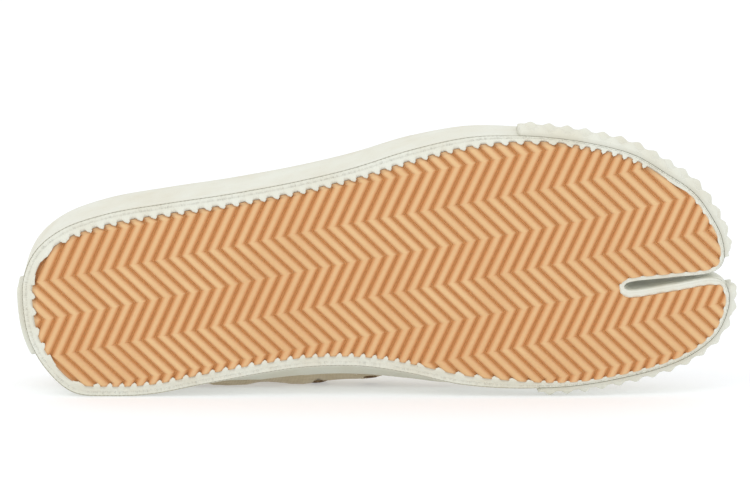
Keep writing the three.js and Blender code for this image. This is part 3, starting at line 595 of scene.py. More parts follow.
def makeWhiteRubber():
    colors = {name: tint(code) for name, code in white["colors"].items()}
    material, tree, shader = newMaterial("whiteRubber", Roughness=0.5)
    color = mixColors(tree, mottle(tree, **white["cloud"]), colors["plain"], colors["warm"])
    color = mixColors(tree, mottle(tree, **white["dirt"]), color, colors["dirt"])
    color = mixColors(tree, valueOf(tree, "seam"), color, colors["seam"])
    place = addNode(tree, "ShaderNodeTexCoord").outputs["UV"]
    dots = addNode(tree, "ShaderNodeTexVoronoi", {"Vector": place, **white["dots"]}).outputs["Distance"]
    knurl = combine(tree, "MULTIPLY", ramp(tree, dots, 0.0, white["dotSize"], 1, 0), valueOf(tree, "knurl"))
    color = mixColors(tree, combine(tree, "MULTIPLY", knurl, white["knurlShade"]), color, colors["seam"])
    normal = grain(tree, before=bump(tree, knurl, white["knurlDepth"]), **white["grain"])
    connect(tree, shader, Base_Color=color, Roughness=mottle(tree, **white["gloss"]), Normal=normal)
    return material


# Woven cloth: a plain weave in the UV's millimetres, with slubs, a slight mottle and painted shade in the weave's
# hollows; soft, no gloss
cloth = {
    "look": {"Roughness": 0.93, "Specular_IOR_Level": 0.2, "Sheen_Weight": 0.25, "Sheen_Roughness": 0.5},
    "slubScale": (0.12, 1.6, 1), "slub": {"low": 0.35, "high": 0.7}, "slubDepth": 0.12, "slubStrength": 0.5,
    "soil": {"size": 30, "low": 0.4, "high": 0.75, "end": 0.5, "detail": 4},
    "pit": {"low": 0.45, "high": 0, "start": 0, "end": 0.45},
}
# light, dark, soil and pit colours (pit is painted shade in the weave's hollows), width of a thread, relief of
# the weave
cloths = {
    "cottonCanvas": ("D8CBB0", "C9B999", "BFAB88", "8F7D61", 0.62, 0.14),
    "insoleDrill": ("D9D0BC", "CCC1A8", "BDAF93", "9C8F76", 0.8, 0.12),
    "laceCotton": ("E2D9C5", "D3C8B0", "C9BCA0", "A39679", 0.7, 0.16),
    "stitchThread": ("EFE9DA", "E6DECB", "DAD0B8", "AFA284", 0.4, 0.05),
}


def makeCloth(name):
    *colors, thread, relief = cloths[name]
    light, dark, soil, pit = (tint(code) for code in colors)
    material, tree, shader = newMaterial(name, **cloth["look"])
    place = addNode(tree, "ShaderNodeTexCoord").outputs["UV"]
    split = addNode(tree, "ShaderNodeSeparateXYZ", {"Vector": place})
    turn = math.pi / thread
    wave = [combine(tree, "SINE", combine(tree, "MULTIPLY", split.outputs[i], turn), 0) for i in (0, 1)]
    over = combine(tree, "MULTIPLY", wave[0], wave[1])
    height = ramp(tree, combine(tree, "ABSOLUTE", over, 0), 0, 1)
    stretched = addNode(tree, "ShaderNodeMapping", {"Vector": place, "Scale": cloth["slubScale"]}).outputs[0]
    inputs = {"Vector": stretched, "Scale": 1.0, "Detail": 3.0}
    slub = addNode(tree, "ShaderNodeTexNoise", inputs).outputs["Fac"]
    color = mixColors(tree, ramp(tree, slub, **cloth["slub"]), light, dark)
    color = mixColors(tree, mottle(tree, **cloth["soil"]), color, soil)
    # painted shade in the low places of the weave
    color = mixColors(tree, ramp(tree, height, **cloth["pit"]), color, pit)
    normal = bump(tree, slub, cloth["slubDepth"], cloth["slubStrength"], bump(tree, height, relief))
    connect(tree, shader, Base_Color=color, Normal=normal)
    return material


# Plated steel gone dark: brown-black with a dull shine and rubbed places
metal = {
    "colors": ("6A5540", "9A8464"),
    "rubbed": {"size": 1.6, "low": 0.45, "high": 0.7},
    "gloss": {"size": 2.4, "low": 0.3, "high": 0.7, "start": 0.28, "end": 0.5},
}


def makeEyeletMetal():
    material, tree, shader = newMaterial("darkEyeletMetal", Metallic=1.0)
    color = mixColors(tree, mottle(tree, **metal["rubbed"]), *(tint(code) for code in metal["colors"]))
    connect(tree, shader, Base_Color=color, Roughness=mottle(tree, **metal["gloss"]))
    return material


gumRubber = makeGumRubber()
whiteRubber = makeWhiteRubber()
cottonCanvas, insoleDrill, laceCotton, stitchThread = (makeCloth(name) for name in cloths)
eyeletMetal = makeEyeletMetal()
print("materials ready")

# Outsole: a herringbone tread, finer than the CAD's, under the same outline
tread = {
    "turn": math.radians(5.65), "angle": math.radians(55), "shift": 4.7, "start": 0.5, "pitch": 5.28,
    "span": 15.2, "bands": 10, "shoulder": 0.125, "bendWidth": 0.016, "bendNear": 0.004, "spacing": 1.2,
    # painted shadow at the ridge ends: fades out on the big-toe side, more so past a heel distance, and at the
    # toes
    "margin": 4, "farOut": -9.0, "lidCell": 6.0, "shadowFreeFrom": 205, "shadowFreeSlope": 0.15, "medialSpan": 12,
    "medialShadowFree": 0.8, "toeShadowFree": 250, "toeSlope": 0.1, "rimReach": 8,
}
# distance from the middle of a ridge along the pattern, depth there as a share of the ridge's height
ridgeProfile = [
    [0, 0.0], [0.5, 0.015], [1.0, 0.07], [1.35, 0.17], [1.65, 0.31], [1.9, 0.5], [2.1, 0.72], [2.3, 0.92],
    [2.5, 1.0],
]


def treadPlace(a, b):
    c, s = math.cos(tread["turn"]), math.sin(tread["turn"])
    return np.stack([a * c + b * s, b * c - a * s], axis=-1)


# How far along its zigzag a line across the pattern is shifted, and which arm it is on: 1 or -1, 0 at a bend
def bendOf(b):
    turns = (b - tread["shift"]) / tread["span"]
    share = np.abs(turns % 2 - 1)
    shiftBy = tread["span"] / math.tan(tread["angle"]) * share
    atBend = np.abs(turns - np.round(turns)) < tread["bendNear"]
    return shiftBy, np.where(atBend, 0, np.where(turns % 2 < 1, 1, -1))


# Distance to the middle of the nearest ridge, along the pattern
def ridgeOff(points):
    c, s = math.cos(tread["turn"]), math.sin(tread["turn"])
    a, b = points[..., 0] * c - points[..., 1] * s, points[..., 0] * s + points[..., 1] * c
    off = (a - bendOf(b)[0] - tread["start"]) % tread["pitch"]
    return np.minimum(off, tread["pitch"] - off)


# Distance from points to a closed outline, more than 0 inside it
def insideBy(points, outline):
    nearest = np.full(len(points), np.inf)
    inside = np.zeros(len(points), bool)
    x, y = points[:, 0], points[:, 1]
    for p, q in zip(outline, np.roll(outline, -1, axis=0)):
        d = q - p
        t = np.clip(((x - p[0]) * d[0] + (y - p[1]) * d[1]) / max(d @ d, 1e-12), 0, 1)
        nearest = np.minimum(nearest, (x - p[0] - t * d[0]) ** 2 + (y - p[1] - t * d[1]) ** 2)
        if p[1] != q[1]:
            crosses = (p[1] > y) != (q[1] > y)
            inside ^= crosses & (x < p[0] + (y - p[1]) / (q[1] - p[1]) * d[0])
    return np.where(inside, 1, -1) * np.sqrt(nearest)


# Keeps what is inside the outline and cuts the faces that cross it; extra holds values at the points
def clipFaces(points, faces, signed, extra):
    points, extra, signed = list(points), list(extra), np.where(np.abs(signed) < 1e-6, 1e-6, signed)
    kept = (signed[faces] > 0).sum(axis=1)
    result = faces[kept == faces.shape[1]].tolist()
    made = {}

    def crossing(i, j):
        key = (min(i, j), max(i, j))
        if key not in made:
            f = signed[i] / (signed[i] - signed[j])
            points.append(points[i] + (points[j] - points[i]) * f)
            extra.append(extra[i] + (extra[j] - extra[i]) * f)
            made[key] = len(points) - 1
        return made[key]

    for face in faces[(kept > 0) & (kept < faces.shape[1])]:
        cut = []
        for i, j in zip(face, np.roll(face, -1)):
            if signed[i] > 0:
                cut.append(int(i))
            if (signed[i] > 0) != (signed[j] > 0):
                cut.append(crossing(i, j))
        if len(cut) > 2:
            result.append(cut)
    return np.array(points), result, np.array(extra)


# Edges that only one face has, in that face's direction
def openEdges(faces):
    edges = {(a, b) for face in faces for a, b in zip(face, [*face[1:], face[0]])}
    return [(a, b) for a, b in edges if (b, a) not in edges]


# The ridges as a grid: places in the sole's plane, depths below the ridge tops, arms and quads
def treadGrid():
    profile = [[-t, d] for t, d in reversed(ridgeProfile[1:])] + ridgeProfile
    bends = math.ceil(last["ballWidth"] / 2 / tread["span"]) + 1
    arms = np.linspace(tread["shoulder"], 1 - tread["shoulder"], tread["bands"] - 3)
    shares = [0, tread["bendWidth"], *arms, 1 - tread["bendWidth"]]
    b = np.array([tread["shift"] + (j + s) * tread["span"] for j in range(-bends, bends) for s in shares])
    reach = bends * tread["span"] * math.tan(tread["turn"]) + tread["span"] / math.tan(tread["angle"])
    first = math.ceil(reach / tread["pitch"])
    count = first + math.ceil((last["length"] + reach) / tread["pitch"])
    middles = [tread["start"] + (n - first) * tread["pitch"] for n in range(count)]
    a = np.array([middle + t for middle in middles for t, _ in profile])
    depth = np.array([d for _ in range(count) for _, d in profile])
    shiftBy, arm = bendOf(b)
    flat = treadPlace(a[:, None] + shiftBy, np.broadcast_to(b, (len(a), len(b)))).reshape(-1, 2)
    return flat, np.repeat(depth, len(b)), np.tile(arm, len(a)), gridQuads(len(a), len(b))


# Distance from the rim for its painted shadow at the ridge ends, larger where that shadow fades out
def rimDistance(flat, signed):
    x, y = flat.T
    plain = np.maximum(x - tread["shadowFreeFrom"], 0) * tread["shadowFreeSlope"] * (y > 0)
    medial = np.clip(y / tread["medialSpan"], 0, 1) * tread["medialShadowFree"]
    plain += medial + np.maximum(x - tread["toeShadowFree"], 0) * tread["toeSlope"]
    return np.clip(signed + plain, 0, tread["rimReach"])


# Points of the flat lid over the tread, and the faces of the lid and of the skirt down to the rim
def closeTread(points, faces, outline):
    rim = openEdges(faces)
    height = layer["sole"] - layer["gap"]
    place = {a: k for k, a in enumerate(sorted({a for pair in rim for a in pair}))}
    axes = [np.arange(outline[:, i].min(), outline[:, i].max(), tread["lidCell"]) for i in (0, 1)]
    inner = np.stack(np.meshgrid(*axes), axis=-1).reshape(-1, 2)
    inner = inner[insideBy(inner, outline) > tread["lidCell"] / 3]
    vertices = [Vector(p[:2]) for p in points[list(place)]] + [Vector(p) for p in inner]
    lid = delaunay_2d_cdt(vertices, [(place[a], place[b]) for a, b in rim], [], 1, 1e-5)
    source = [next(iter(o)) if o else 0 for o in lid[3]]
    back = {s: k for k, s in reversed(list(enumerate(source)))}
    offset = len(points)
    skirt = [[b, a, offset + back[place[a]], offset + back[place[b]]] for a, b in rim]
    top = [[offset + i for i in face] for face in lid[2]]
    return np.array([[*v, height] for v in lid[0]]), skirt + top


def makeOutsole():
    flat, depth, arm, quads = treadGrid()
    outline = ribLoop(tread["spacing"])["foot"]
    near = (flat > outline.min(axis=0) - tread["margin"]).all(axis=1)
    near &= (flat < outline.max(axis=0) + tread["margin"]).all(axis=1)
    signed = np.full(len(flat), tread["farOut"])
    signed[near] = insideBy(flat[near], outline)
    points = np.concatenate([flat, depth[:, None] * layer["ridge"]], axis=1)
    extra = np.stack([depth, rimDistance(flat, signed), arm], axis=1)
    points, faces, extra = clipFaces(points, quads, signed, extra)
    used = np.unique([i for face in faces for i in face])
    number = np.full(len(points), -1)
    number[used] = np.arange(len(used))
    faces = [[int(number[i]) for i in face] for face in faces]
    lid, closing = closeTread(points[used], faces, outline)
    every = lift(np.concatenate([points[used], lid]))
    columns = np.concatenate([extra[used], np.tile([1, 0, 0], (len(lid), 1))]).T
    values = dict(zip(("depth", "rim", "arm"), columns))
    return makePiece("outsoleTread", every, faces + closing, gumRubber, ["outsole"],
                     values=values)


outsole = makeOutsole()
print("outsole", len(outsole.data.polygons))

# Foxing tape: a toothed lip round the tread, a strip of fine knurling out to a seam, and a smooth side wall
foxing = {
    "spacing": 0.42, "inner": [27, 21, 16, 10, 5.4, 2.6, 1.6], "innerBelow": 0.25,
    "wall": [2.6, 5.4, 10, 16, 21], "wallBelow": 1.2, "nearTop": 1, "dots": 1.6, "dotShade": 0.28,
    "toeShade": 0.35, "tooth": 1.45, "toothBelow": 1.5, "toothFrom": 0.8, "toothDrop": 0.85, "dropGrowth": 3,
    "lean": 0.5, "lap": 0.34, "lapShare": 0.05, "lipShare": 0.3, "bareAt": 3.2, "bareFull": 1.5, "bareFade": 2.6,
}
# heel distance, share of the teeth's size on the little-toe side, and on the big-toe side
toothSize = [[0, 1, 1], [190, 1, 1], [215, 1, 0.35], [250, 1, 0.3], [265, 0.35, 0.25], [285, 0.3, 0.25]]
# share of the way across its lower face, rise there, seam colour, knurling
foxingEdge = [
    [0.0, 0.42, 0.0, 0], [0.03, 0.14, 0.0, 0], [0.1, 0.0, 0.0, 0], [0.24, 0.0, 0.0, 0], [0.36, 0.06, 0.0, 0],
    [0.43, 0.1, 0.0, 0.3], [0.47, 0.16, 0.06, 0.6], [0.51, 0.16, 0.06, 0.6], [0.55, 0.12, 0.0, 1],
    [0.6, 0.1, 0.0, 1], [0.72, 0.1, 0.0, 1], [0.84, 0.14, 0.0, 1], [0.885, 0.2, 0.1, 0.6],
    [0.905, 0.42, 0.9, 0], [0.93, 0.42, 0.9, 0], [0.965, 0.22, 0.05, 0], [0.99, 0.3, 0.0, 0],
    [1.0, 0.55, 0.0, 0],
]
# below the top edge, share of the way across, seam colour
foxingTop = [[1.0, 1.0, 0], [0.45, 0.96, 0], [0.12, 0.82, 0], [0.0, 0.6, 0], [0.0, 0.2, 0]]


# The way into the sole along the groove that ends at each place on its edge
def grooveWay(places, out):
    b = places[..., 0] * math.sin(tread["turn"]) + places[..., 1] * math.cos(tread["turn"])
    way = treadPlace(-np.where(bendOf(b)[1] < 0, -1, 1) / math.tan(tread["angle"]), np.ones(len(b)))
    inward = -(way * out).sum(axis=-1, keepdims=True)
    return unit(unit(way) * np.sign(inward) - foxing["lean"] * out)


# Heights of one row round the tape, kept below its top edge where that is low
def rowHeights(z, top, below):
    high = z > layer["toeTapeTop"] - foxing["nearTop"]
    return np.minimum(z, top - below) if high else np.full(len(top), float(z))


# The rows round the tape's section: heights, shares of the way across, seam colours and knurling
def foxingRows(top):
    rows = [(rowHeights(z, top, foxing["innerBelow"]), 0, 0, 0) for z in foxing["inner"]]
    for share, rise, seam, knurl in foxingEdge:
        rows.append((np.full(len(top), layer["tapeRise"] + rise), share, seam, knurl))
    rows += [(rowHeights(z, top, foxing["wallBelow"]), 1, 0, 0) for z in foxing["wall"]]
    rows += [(top - below, share, seam, 0) for below, share, seam in foxingTop]
    heights, *values = zip(*rows)
    return np.stack(heights, axis=1), *(np.array(value) for value in values)


# Pushes the lip's teeth into the grooves, and laps it over the ends of the ridges
def shapeLip(points, ribs, z, share, bare):
    sizes = np.array(toothSize).T
    x, y = ribs["foot"].T
    full = np.where(y < 0, np.interp(x, sizes[0], sizes[1]), np.interp(x, sizes[0], sizes[2]))
    into = (ridgeOff(ribs["foot"]) - foxing["toothFrom"]) / (tread["pitch"] / 2 - foxing["toothFrom"])
    tooth = np.clip(into, 0, 1) * foxing["tooth"] * full * (1 - np.clip(2 * bare, 0, 1))
    lip = (share < foxing["lipShare"]) & (z[0] < foxing["toothBelow"])
    pushed = np.where(lip, 1 - share / foxing["lipShare"], 0)[None, :] * tooth[:, None]
    closed = np.where(lip & (share < foxing["lapShare"]), foxing["lap"], 0)
    points[..., :2] += column(grooveWay(ribs["foot"], ribs["out"]), z) * pushed[..., None]
    points[..., :2] -= column(ribs["out"], z) * closed[None, :, None]
    points[..., 2] -= np.clip(foxing["dropGrowth"] * pushed / foxing["tooth"], 0, 1) * foxing["toothDrop"]


def makeFoxing():
    ribs = ribLoop(foxing["spacing"])
    z, share, seam, knurl = foxingRows(ribs["tapeTop"])
    inner = layer["gap"] / (ribs["thickness"] + layer["gap"])
    points = layerAt(ribs, z, inner[:, None] + (1 - inner[:, None]) * share)
    # no seam or knurling inside the cleft
    fromCleft = np.abs(ribs["u"] - cleftStart - foxing["bareAt"])
    bare = np.clip(foxing["bareFull"] - fromCleft / foxing["bareFade"], 0, 1)
    shapeLip(points, ribs, z, share, bare)
    along, total = lengthsOf(ribs["lower"], True)
    dots = 1 - foxing["dotShade"] + foxing["dotShade"] * np.cos(2 * math.pi * along / foxing["dots"])
    tape = (ribs["thickness"] - layer["toeTape"]) / (layer["sideTape"] - layer["toeTape"])
    shade = foxing["toeShade"] + (1 - foxing["toeShade"]) * np.clip(tape, 0, 1)
    values = {"seam": seam * (shade * (1 - bare) * dots)[:, None], "knurl": knurl * (1 - bare)[:, None]}
    uv = gridUV(along[:, None], lengthsOf(points[len(points) // 2]), z.shape)
    faces = gridQuads(*z.shape, True, True)
    return makePiece("foxingTape", lift(points).reshape(-1, 3), faces, whiteRubber, ["foxing"],
                     uv=uv, wrap=total, values=values)


makeFoxing()
print("foxing")

# Toe bumpers: a band with staggered rows of blunt studs
bumper = {
    "thickness": 1.7, "height": 16, "start": 201, "ends": (1.2, 0.4), "cell": 0.45, "round": 0.7, "corner": 2.5,
    "studHeight": 2.3, "studPitch": 6.8, "studLength": 3.25, "studWidth": 3.3, "blunt": 2.6, "tip": 0.16,
    "tipLoss": 0.5, "plateShare": 0.9,
}
# share of the height, shift along, share of the studs' height
studRows = [[0.29, 0.25, 1], [0.71, 0.75, 0.8]]


# Ribs at equal distances between two places on the edge, with those distances
def ribsAlong(start, end, spacing):
    track = makeTrack(start, end)
    count = math.ceil(track["length"] / spacing)
    lengths = np.linspace(0, track["length"], count + 1)
    return ribsAt(np.interp(lengths, track["lengths"], track["places"])), lengths


# hairline between the tape and what is stuck to it, least height over that, seam colour at the edges
band = {"bonded": 0.06, "thinnest": 0.05, "edgeShade": 0.3, "backStep": 6}


# A band on the tape: face(s, z, total) is its proud height, s from its start and z from the tread's floor
def makeBand(name, start, end, low, high, plate, face, nodes):
    ribs, along = ribsAlong(start, end, plate["cell"])
    levels = np.linspace(low, high, math.ceil((high - low) / plate["cell"]) + 1)
    s, z = np.meshgrid(along, levels, indexing="ij")
    proud = face(s, z, along[-1])
    outside = layerAt(ribs, z, 1, band["bonded"] + np.maximum(proud, band["thinnest"]))
    behind = z[:, ::band["backStep"]]
    if behind[0, -1] != levels[-1]:
        behind = np.concatenate([behind, z[:, -1:]], axis=1)
    back = layerAt(ribs, behind, 1, band["bonded"])
    rows = np.concatenate([outside, back[:, ::-1]], axis=1)
    faces = gridQuads(*rows.shape[:2], False, True).tolist() + endFaces(*rows.shape[:2])
    seam = np.zeros(rows.shape[:2])
    sunk = np.clip((plate["thickness"] - proud) / plate["thickness"], 0, 1)
    seam[:, :z.shape[1]] = band["edgeShade"] * sunk ** 3
    uv = gridUV(along[:, None], np.pad(z, ((0, 0), (0, behind.shape[1])), mode="edge"), seam.shape)
    values = {"seam": seam, "knurl": np.zeros(seam.shape)}
    return makePiece(name, lift(rows).reshape(-1, 3), faces, whiteRubber, nodes,
                     uv=uv, values=values, sharp=60)


# Thickness of a plate that falls off over its rounded edges
def plateHeight(s, z, total, low, high, plate):
    corner = plate["corner"]
    side = np.minimum(s, total - s)
    up = np.minimum(z - low, high - z)
    inCorner = (side < corner) & (up < corner)
    fromEdge = np.where(inCorner, corner - np.hypot(corner - side, corner - up), np.minimum(side, up))
    t = np.clip(fromEdge / plate["round"], 0, 1)
    return plate["thickness"] * np.sqrt(1 - (1 - t) ** 2)


def studFace(s, z, total):
    height = plateHeight(s, z, total, layer["tapeRise"], bumper["height"], bumper)
    onPlate = height > bumper["thickness"] * bumper["plateShare"]
    studs = np.zeros_like(s)
    pitch = total / math.floor(total / bumper["studPitch"])
    for rise, shift, share in studRows:
        off = np.abs((s / pitch - shift + 0.5) % 1 - 0.5) * pitch / bumper["studLength"]
        up = np.abs(z - bumper["height"] * rise) / bumper["studWidth"]
        cone = 1 - (off ** bumper["blunt"] + up ** bumper["blunt"]) ** (1 / bumper["blunt"])
        tip = bumper["tip"] * np.exp(-((1 - cone) / bumper["tip"]) ** 2) * bumper["tipLoss"]
        studs = np.maximum(studs, np.clip((cone - tip) * onPlate, 0, 1) * bumper["studHeight"] * share)
    return height + studs


def makeBumper(name, start, end, node):
    return makeBand(name, start, end, layer["tapeRise"], bumper["height"], bumper, studFace, [node])


makeBumper("toeBumperOuter", placeFor(bumper["start"], -1), cleftStart - bumper["ends"][0], "toe_bumper_outer")
makeBumper("toeBumperBig", medialStart + bumper["ends"][1], placeFor(bumper["start"], 1), "toe_bumper_big")

# Heel patch: a blank plate with a line pressed in all round
patch = {
    "width": 28, "height": 22, "thickness": 2, "rise": 3, "offset": 7.7, "corner": 2.2, "round": 0.6, "cell": 0.4,
    "line": 1.9, "lineDepth": 0.45, "lineWidth": 0.35,
}
patchEnds = patch["rise"], patch["rise"] + patch["height"]


def patchFace(s, z, total):
    low, high = patchEnds
    inset = np.minimum(np.minimum(s, total - s), np.minimum(z - low, high - z))
    line = patch["lineDepth"] * np.exp(-((inset - patch["line"]) / patch["lineWidth"]) ** 2)
    return plateHeight(s, z, total, low, high, patch) - line


# Places on the edge a reach either way from a point beside the middle of the heel
def heelPlaces(offset, reaches=(0,)):
    track = makeTrack(-2, 2)
    middle = np.interp(0, track["places"], track["lengths"]) + offset
    return [np.interp(middle + reach, track["lengths"], track["places"]) for reach in reaches]


def makeHeelPatch():
    start, end = heelPlaces(-patch["offset"], (-patch["width"] / 2, patch["width"] / 2))
    return makeBand("heelPatch", start, end, *patchEnds, patch, patchFace, ["heel_patch"])


makeHeelPatch()
print("rubber trim ready")

# Upper: one wall of canvas, with soft creases, rolled at the collar and throat
upper = {
    "spacing": 1.7, "levels": 40, "firstLevels": (0.06, 0.12), "rimRoll": 0.55, "hole": 3.0, "holeDepth": 6,
    "snap": 0.8, "weld": 0.05, "merge": 0.02, "ripple": 0.35, "rippleLength": 34, "rippleRise": 9,
    "creaseFrom": 1.6, "creaseFade": 12, "pressed": 0.1,
}
crease = {"samples": 7, "swell": 0.5, "swellAt": 1.9}
# side, heel distance and level at each end, width and depth in millimetres; a depth less than 0 is a ridge
creases = [
    [-1, 196, 0.62, 214, 0.98, 5.0, 1.1], [-1, 206, 0.5, 226, 0.96, 4.5, 0.9],
    [-1, 186, 0.5, 200, 0.75, 5.5, -0.6], [1, 194, 0.6, 212, 0.98, 5.0, 1.0],
    [1, 205, 0.52, 224, 0.97, 4.5, 0.9], [1, 184, 0.5, 198, 0.76, 5.5, -0.6],
    [-1, 150, 0.42, 176, 0.72, 7.0, 1.2], [-1, 120, 0.4, 150, 0.62, 8.0, 1.0],
    [-1, 88, 0.5, 112, 0.8, 7.0, 1.1], [1, 148, 0.5, 172, 0.76, 7.0, 1.3],
    [1, 118, 0.55, 146, 0.78, 8.0, 1.1], [1, 90, 0.5, 112, 0.84, 7.0, 1.0],
    [-1, 56, 0.55, 80, 0.8, 6.0, 0.8], [1, 54, 0.55, 78, 0.8, 6.0, 0.8], [1, 128, 0.3, 170, 0.36, 6.0, 0.7],
    [-1, 218, 0.45, 221, 0.9, 4.0, -0.4], [1, 217, 0.45, 221, 0.9, 4.0, -0.4],
]


def distanceToPath(points, path):
    nearest = np.full(points.shape[:-1], np.inf)
    for p, q in zip(path[:-1], path[1:]):
        d = q - p
        t = np.clip((points - p) @ d / max(d @ d, 1e-9), 0, 1)
        nearest = np.minimum(nearest, np.linalg.norm(points - p - t[..., None] * d, axis=-1))
    return nearest


def creaseHeight(points):
    height = np.zeros(points.shape[:-1])
    for side, x0, level0, x1, level1, width, depth in creases:
        share = np.linspace(0, 1, crease["samples"])
        ribs = ribsAtX(x0 + (x1 - x0) * share, side)
        path = surfaceAt(ribs, (level0 + (level1 - level0) * share)[:, None] * ribs["end"][:, None])[:, 0]
        away = distanceToPath(points, path)
        swell = np.exp(-((away - crease["swellAt"] * width) / width) ** 2)
        height -= depth * np.exp(-(away / width) ** 2) - crease["swell"] * depth * swell
    return height


def acrossAt(x, y):
    ribs = ribsAtX(x, np.where(np.asarray(y) < 0, -1, 1))
    level = levelAt(1 - np.abs(y) / ribs["span"])
    return lift(surfaceAt(ribs, level[:, None])[:, 0])


# Points over the instep by distance from heel and ridge line, with outward normals
def instepAt(x, across):
    x, across = np.broadcast_arrays(np.atleast_1d(x).astype(float), across)
    x, across = x.ravel(), across.ravel()
    ahead = acrossAt(x + 1, across) - acrossAt(x - 1, across)
    normal = unit(np.cross(ahead, acrossAt(x, across + 1) - acrossAt(x, across - 1)))
    return acrossAt(x, across), normal


def medialWallAt(x, z):
    def at(alongX, height):
        ribs = ribsAtX(np.atleast_1d(alongX), 1)
        level = (height - layer["sole"]) / (ribs["top"][:, 2] - layer["sole"])
        return lift(surfaceAt(ribs, level[:, None])[:, 0])

    normal = unit(np.cross(at(x, z + 1) - at(x, z - 1), at(x + 1, z) - at(x - 1, z)))
    return at(x, z), normal


# Eyelets: their sizes, and where their holes go through the canvas
eyelet = {
    "pairs": 6, "inset": 7.5, "ends": 8, "bore": 4.4, "flange": 8, "wall": 0.5, "fold": 0.5, "spokes": 40,
    "ventFlange": 8.8, "ventBore": 4.6, "vents": (113.5, 137), "ventHeight": 34.5,
}
lacingEnds = throat["front"] - eyelet["ends"], throat["back"] + eyelet["ends"]
lacing = {"x": np.linspace(*lacingEnds, eyelet["pairs"])}
lacing["across"] = throatEdge(lacing["x"]) + eyelet["inset"]
laceHoles = [pair for side in (-1, 1) for pair in zip(*instepAt(lacing["x"], side * lacing["across"]))]
vents = [[part[0] for part in medialWallAt(x, eyelet["ventHeight"])] for x in eyelet["vents"]]
holes = [(p, n, eyelet["bore"]) for p, n in laceHoles] + [(p, n, eyelet["ventBore"]) for p, n in vents]


# Faces joining two copies of a sheet's open edges by rounded rims; roll is how far each point's rim stands out
def rimFaces(outer, normals, faces, thickness, roll):
    rim = openEdges(faces)
    follow = {a: b for a, b in rim}
    before = {b: a for a, b in rim}
    count = len(outer)
    index = {a: k for k, a in enumerate(follow)}
    at = np.array(list(follow))
    tangent = unit(outer[[follow[a] for a in at]] - outer[[before[a] for a in at]])
    out = unit(np.cross(tangent, normals[at]))
    middle = outer[at] - normals[at] * thickness / 2
    points, quads = [], []
    angles = np.radians([45, 90, 135])
    for angle in angles:
        reach = np.sin(angle) * thickness / 2 * roll[at]
        points.append(middle + normals[at] * (np.cos(angle) * thickness / 2) + out * reach[:, None])
    rings = [lambda a: a] + [lambda a, k=k: 2 * count + k * len(at) + index[a] for k in range(len(angles))]
    rings.append(lambda a: count + a)
    for near, far in zip(rings[:-1], rings[1:]):
        quads += [[near(b), near(a), far(a), far(b)] for a, b in rim]
    return np.concatenate(points), quads


# Levels of the points on each rib, closer together near an opening
def upperLevels(end):
    first, second = upper["firstLevels"]
    low = np.arcsin(second)
    levels = np.sin(low + (math.pi / 2 - low) * np.linspace(0, 1, upper["levels"] + 1))
    levels = np.concatenate([[0, first], levels])
    turned = np.arcsin(np.clip(end, 0, 1))[:, None] * np.arcsin(levels)[None, :] / (math.pi / 2)
    return np.where(end[:, None] < 1, np.sin(turned), levels[None, :] * end[:, None])


# Draws points near the holes onto their edges, and leaves out the faces inside
def openHoles(points, faces):
    gone = np.zeros(len(faces), bool)
    for place, normal, bore in holes:
        radius = bore / 2 + eyelet["wall"] + layer["gap"]
        off = points - place
        height = off @ normal
        flatOff = off - height[:, None] * normal
        away = np.linalg.norm(flatOff, axis=1)
        level = np.abs(height) < upper["holeDepth"]
        near = (np.abs(away - radius) < upper["snap"]) & level
        points[near] += flatOff[near] * (radius / away[near] - 1)[:, None]
        within = (away < radius + upper["snap"] - 1e-6) & level
        gone |= within[faces].all(axis=1)
    faces = [list(dict.fromkeys(face.tolist())) for face in faces[~gone]]
    return [face for face in faces if len(face) > 2]


def makeUpper():
    ribs = ribLoop(upper["spacing"])
    grid = surfaceAt(ribs, upperLevels(ribs["end"]))
    rows, columns = grid.shape[:2]
    arcs = np.swapaxes(lengthsOf(np.swapaxes(grid, 0, 1)), 0, 1)
    along, total = lengthsOf(ribs["lower"], True)
    uv = gridUV(along[:, None], arcs, arcs.shape)
    arcs = arcs.ravel()
    wave = upper["ripple"] * np.sin(uv[:, 0] * 2 * math.pi / upper["rippleLength"])
    wave *= np.sin(arcs / upper["rippleRise"])
    # opposite ribs meet on the closed part of the ridge line
    flat = grid.reshape(-1, 3)
    tops = np.arange(rows) * columns + columns - 1
    keys, number = {}, np.arange(len(flat))
    for i in tops[ribs["end"] >= 1]:
        key = tuple(np.round(flat[i] / upper["weld"]).astype(int))
        number[i] = keys.setdefault(key, i)
    sums = np.zeros_like(flat)
    np.add.at(sums, number, normalsOf(grid, True).reshape(-1, 3))
    normals = unit(sums[number])
    calm = np.clip(arcs / upper["creaseFade"] - upper["creaseFrom"], 0, 1)
    moved = lift(flat + normals * ((creaseHeight(flat) + wave) * calm)[:, None])
    under = np.maximum(upper["pressed"] - toRow(moved)[:, 2] * perMetre, 0)
    moved -= under[:, None] * np.array(lying["down"])
    faces = openHoles(moved, number[gridQuads(rows, columns, True)])
    holeEdge = np.zeros(len(flat), bool)
    for place, _, bore in holes:
        holeEdge |= np.linalg.norm(moved - place, axis=1) < bore / 2 + upper["hole"]
    bottom = (np.arange(len(flat)) % columns) == 0
    roll = np.where(holeEdge | bottom, 0.0, upper["rimRoll"])
    inner = moved - normals * layer["canvas"]
    inner[bottom, 2] = moved[bottom, 2]
    extra, rim = rimFaces(moved, normals, faces, layer["canvas"], roll)
    back = [[len(flat) + i for i in reversed(face)] for face in faces]
    index = list({a: None for a, _ in openEdges(faces)})
    rimUV = np.concatenate([uv[index] + [0, k] for k in (1, 2, 3)])
    points = np.concatenate([moved, inner, extra])
    makePiece("canvasUpper", points, faces + back + rim, cottonCanvas, ["upper"],
              uv=np.concatenate([uv, uv, rimUV]), wrap=total, merge=upper["merge"], sharp=80)
    return BVHTree.FromPolygons(toRow(moved).tolist(), faces)


outerCanvas = makeUpper()
print("upper")
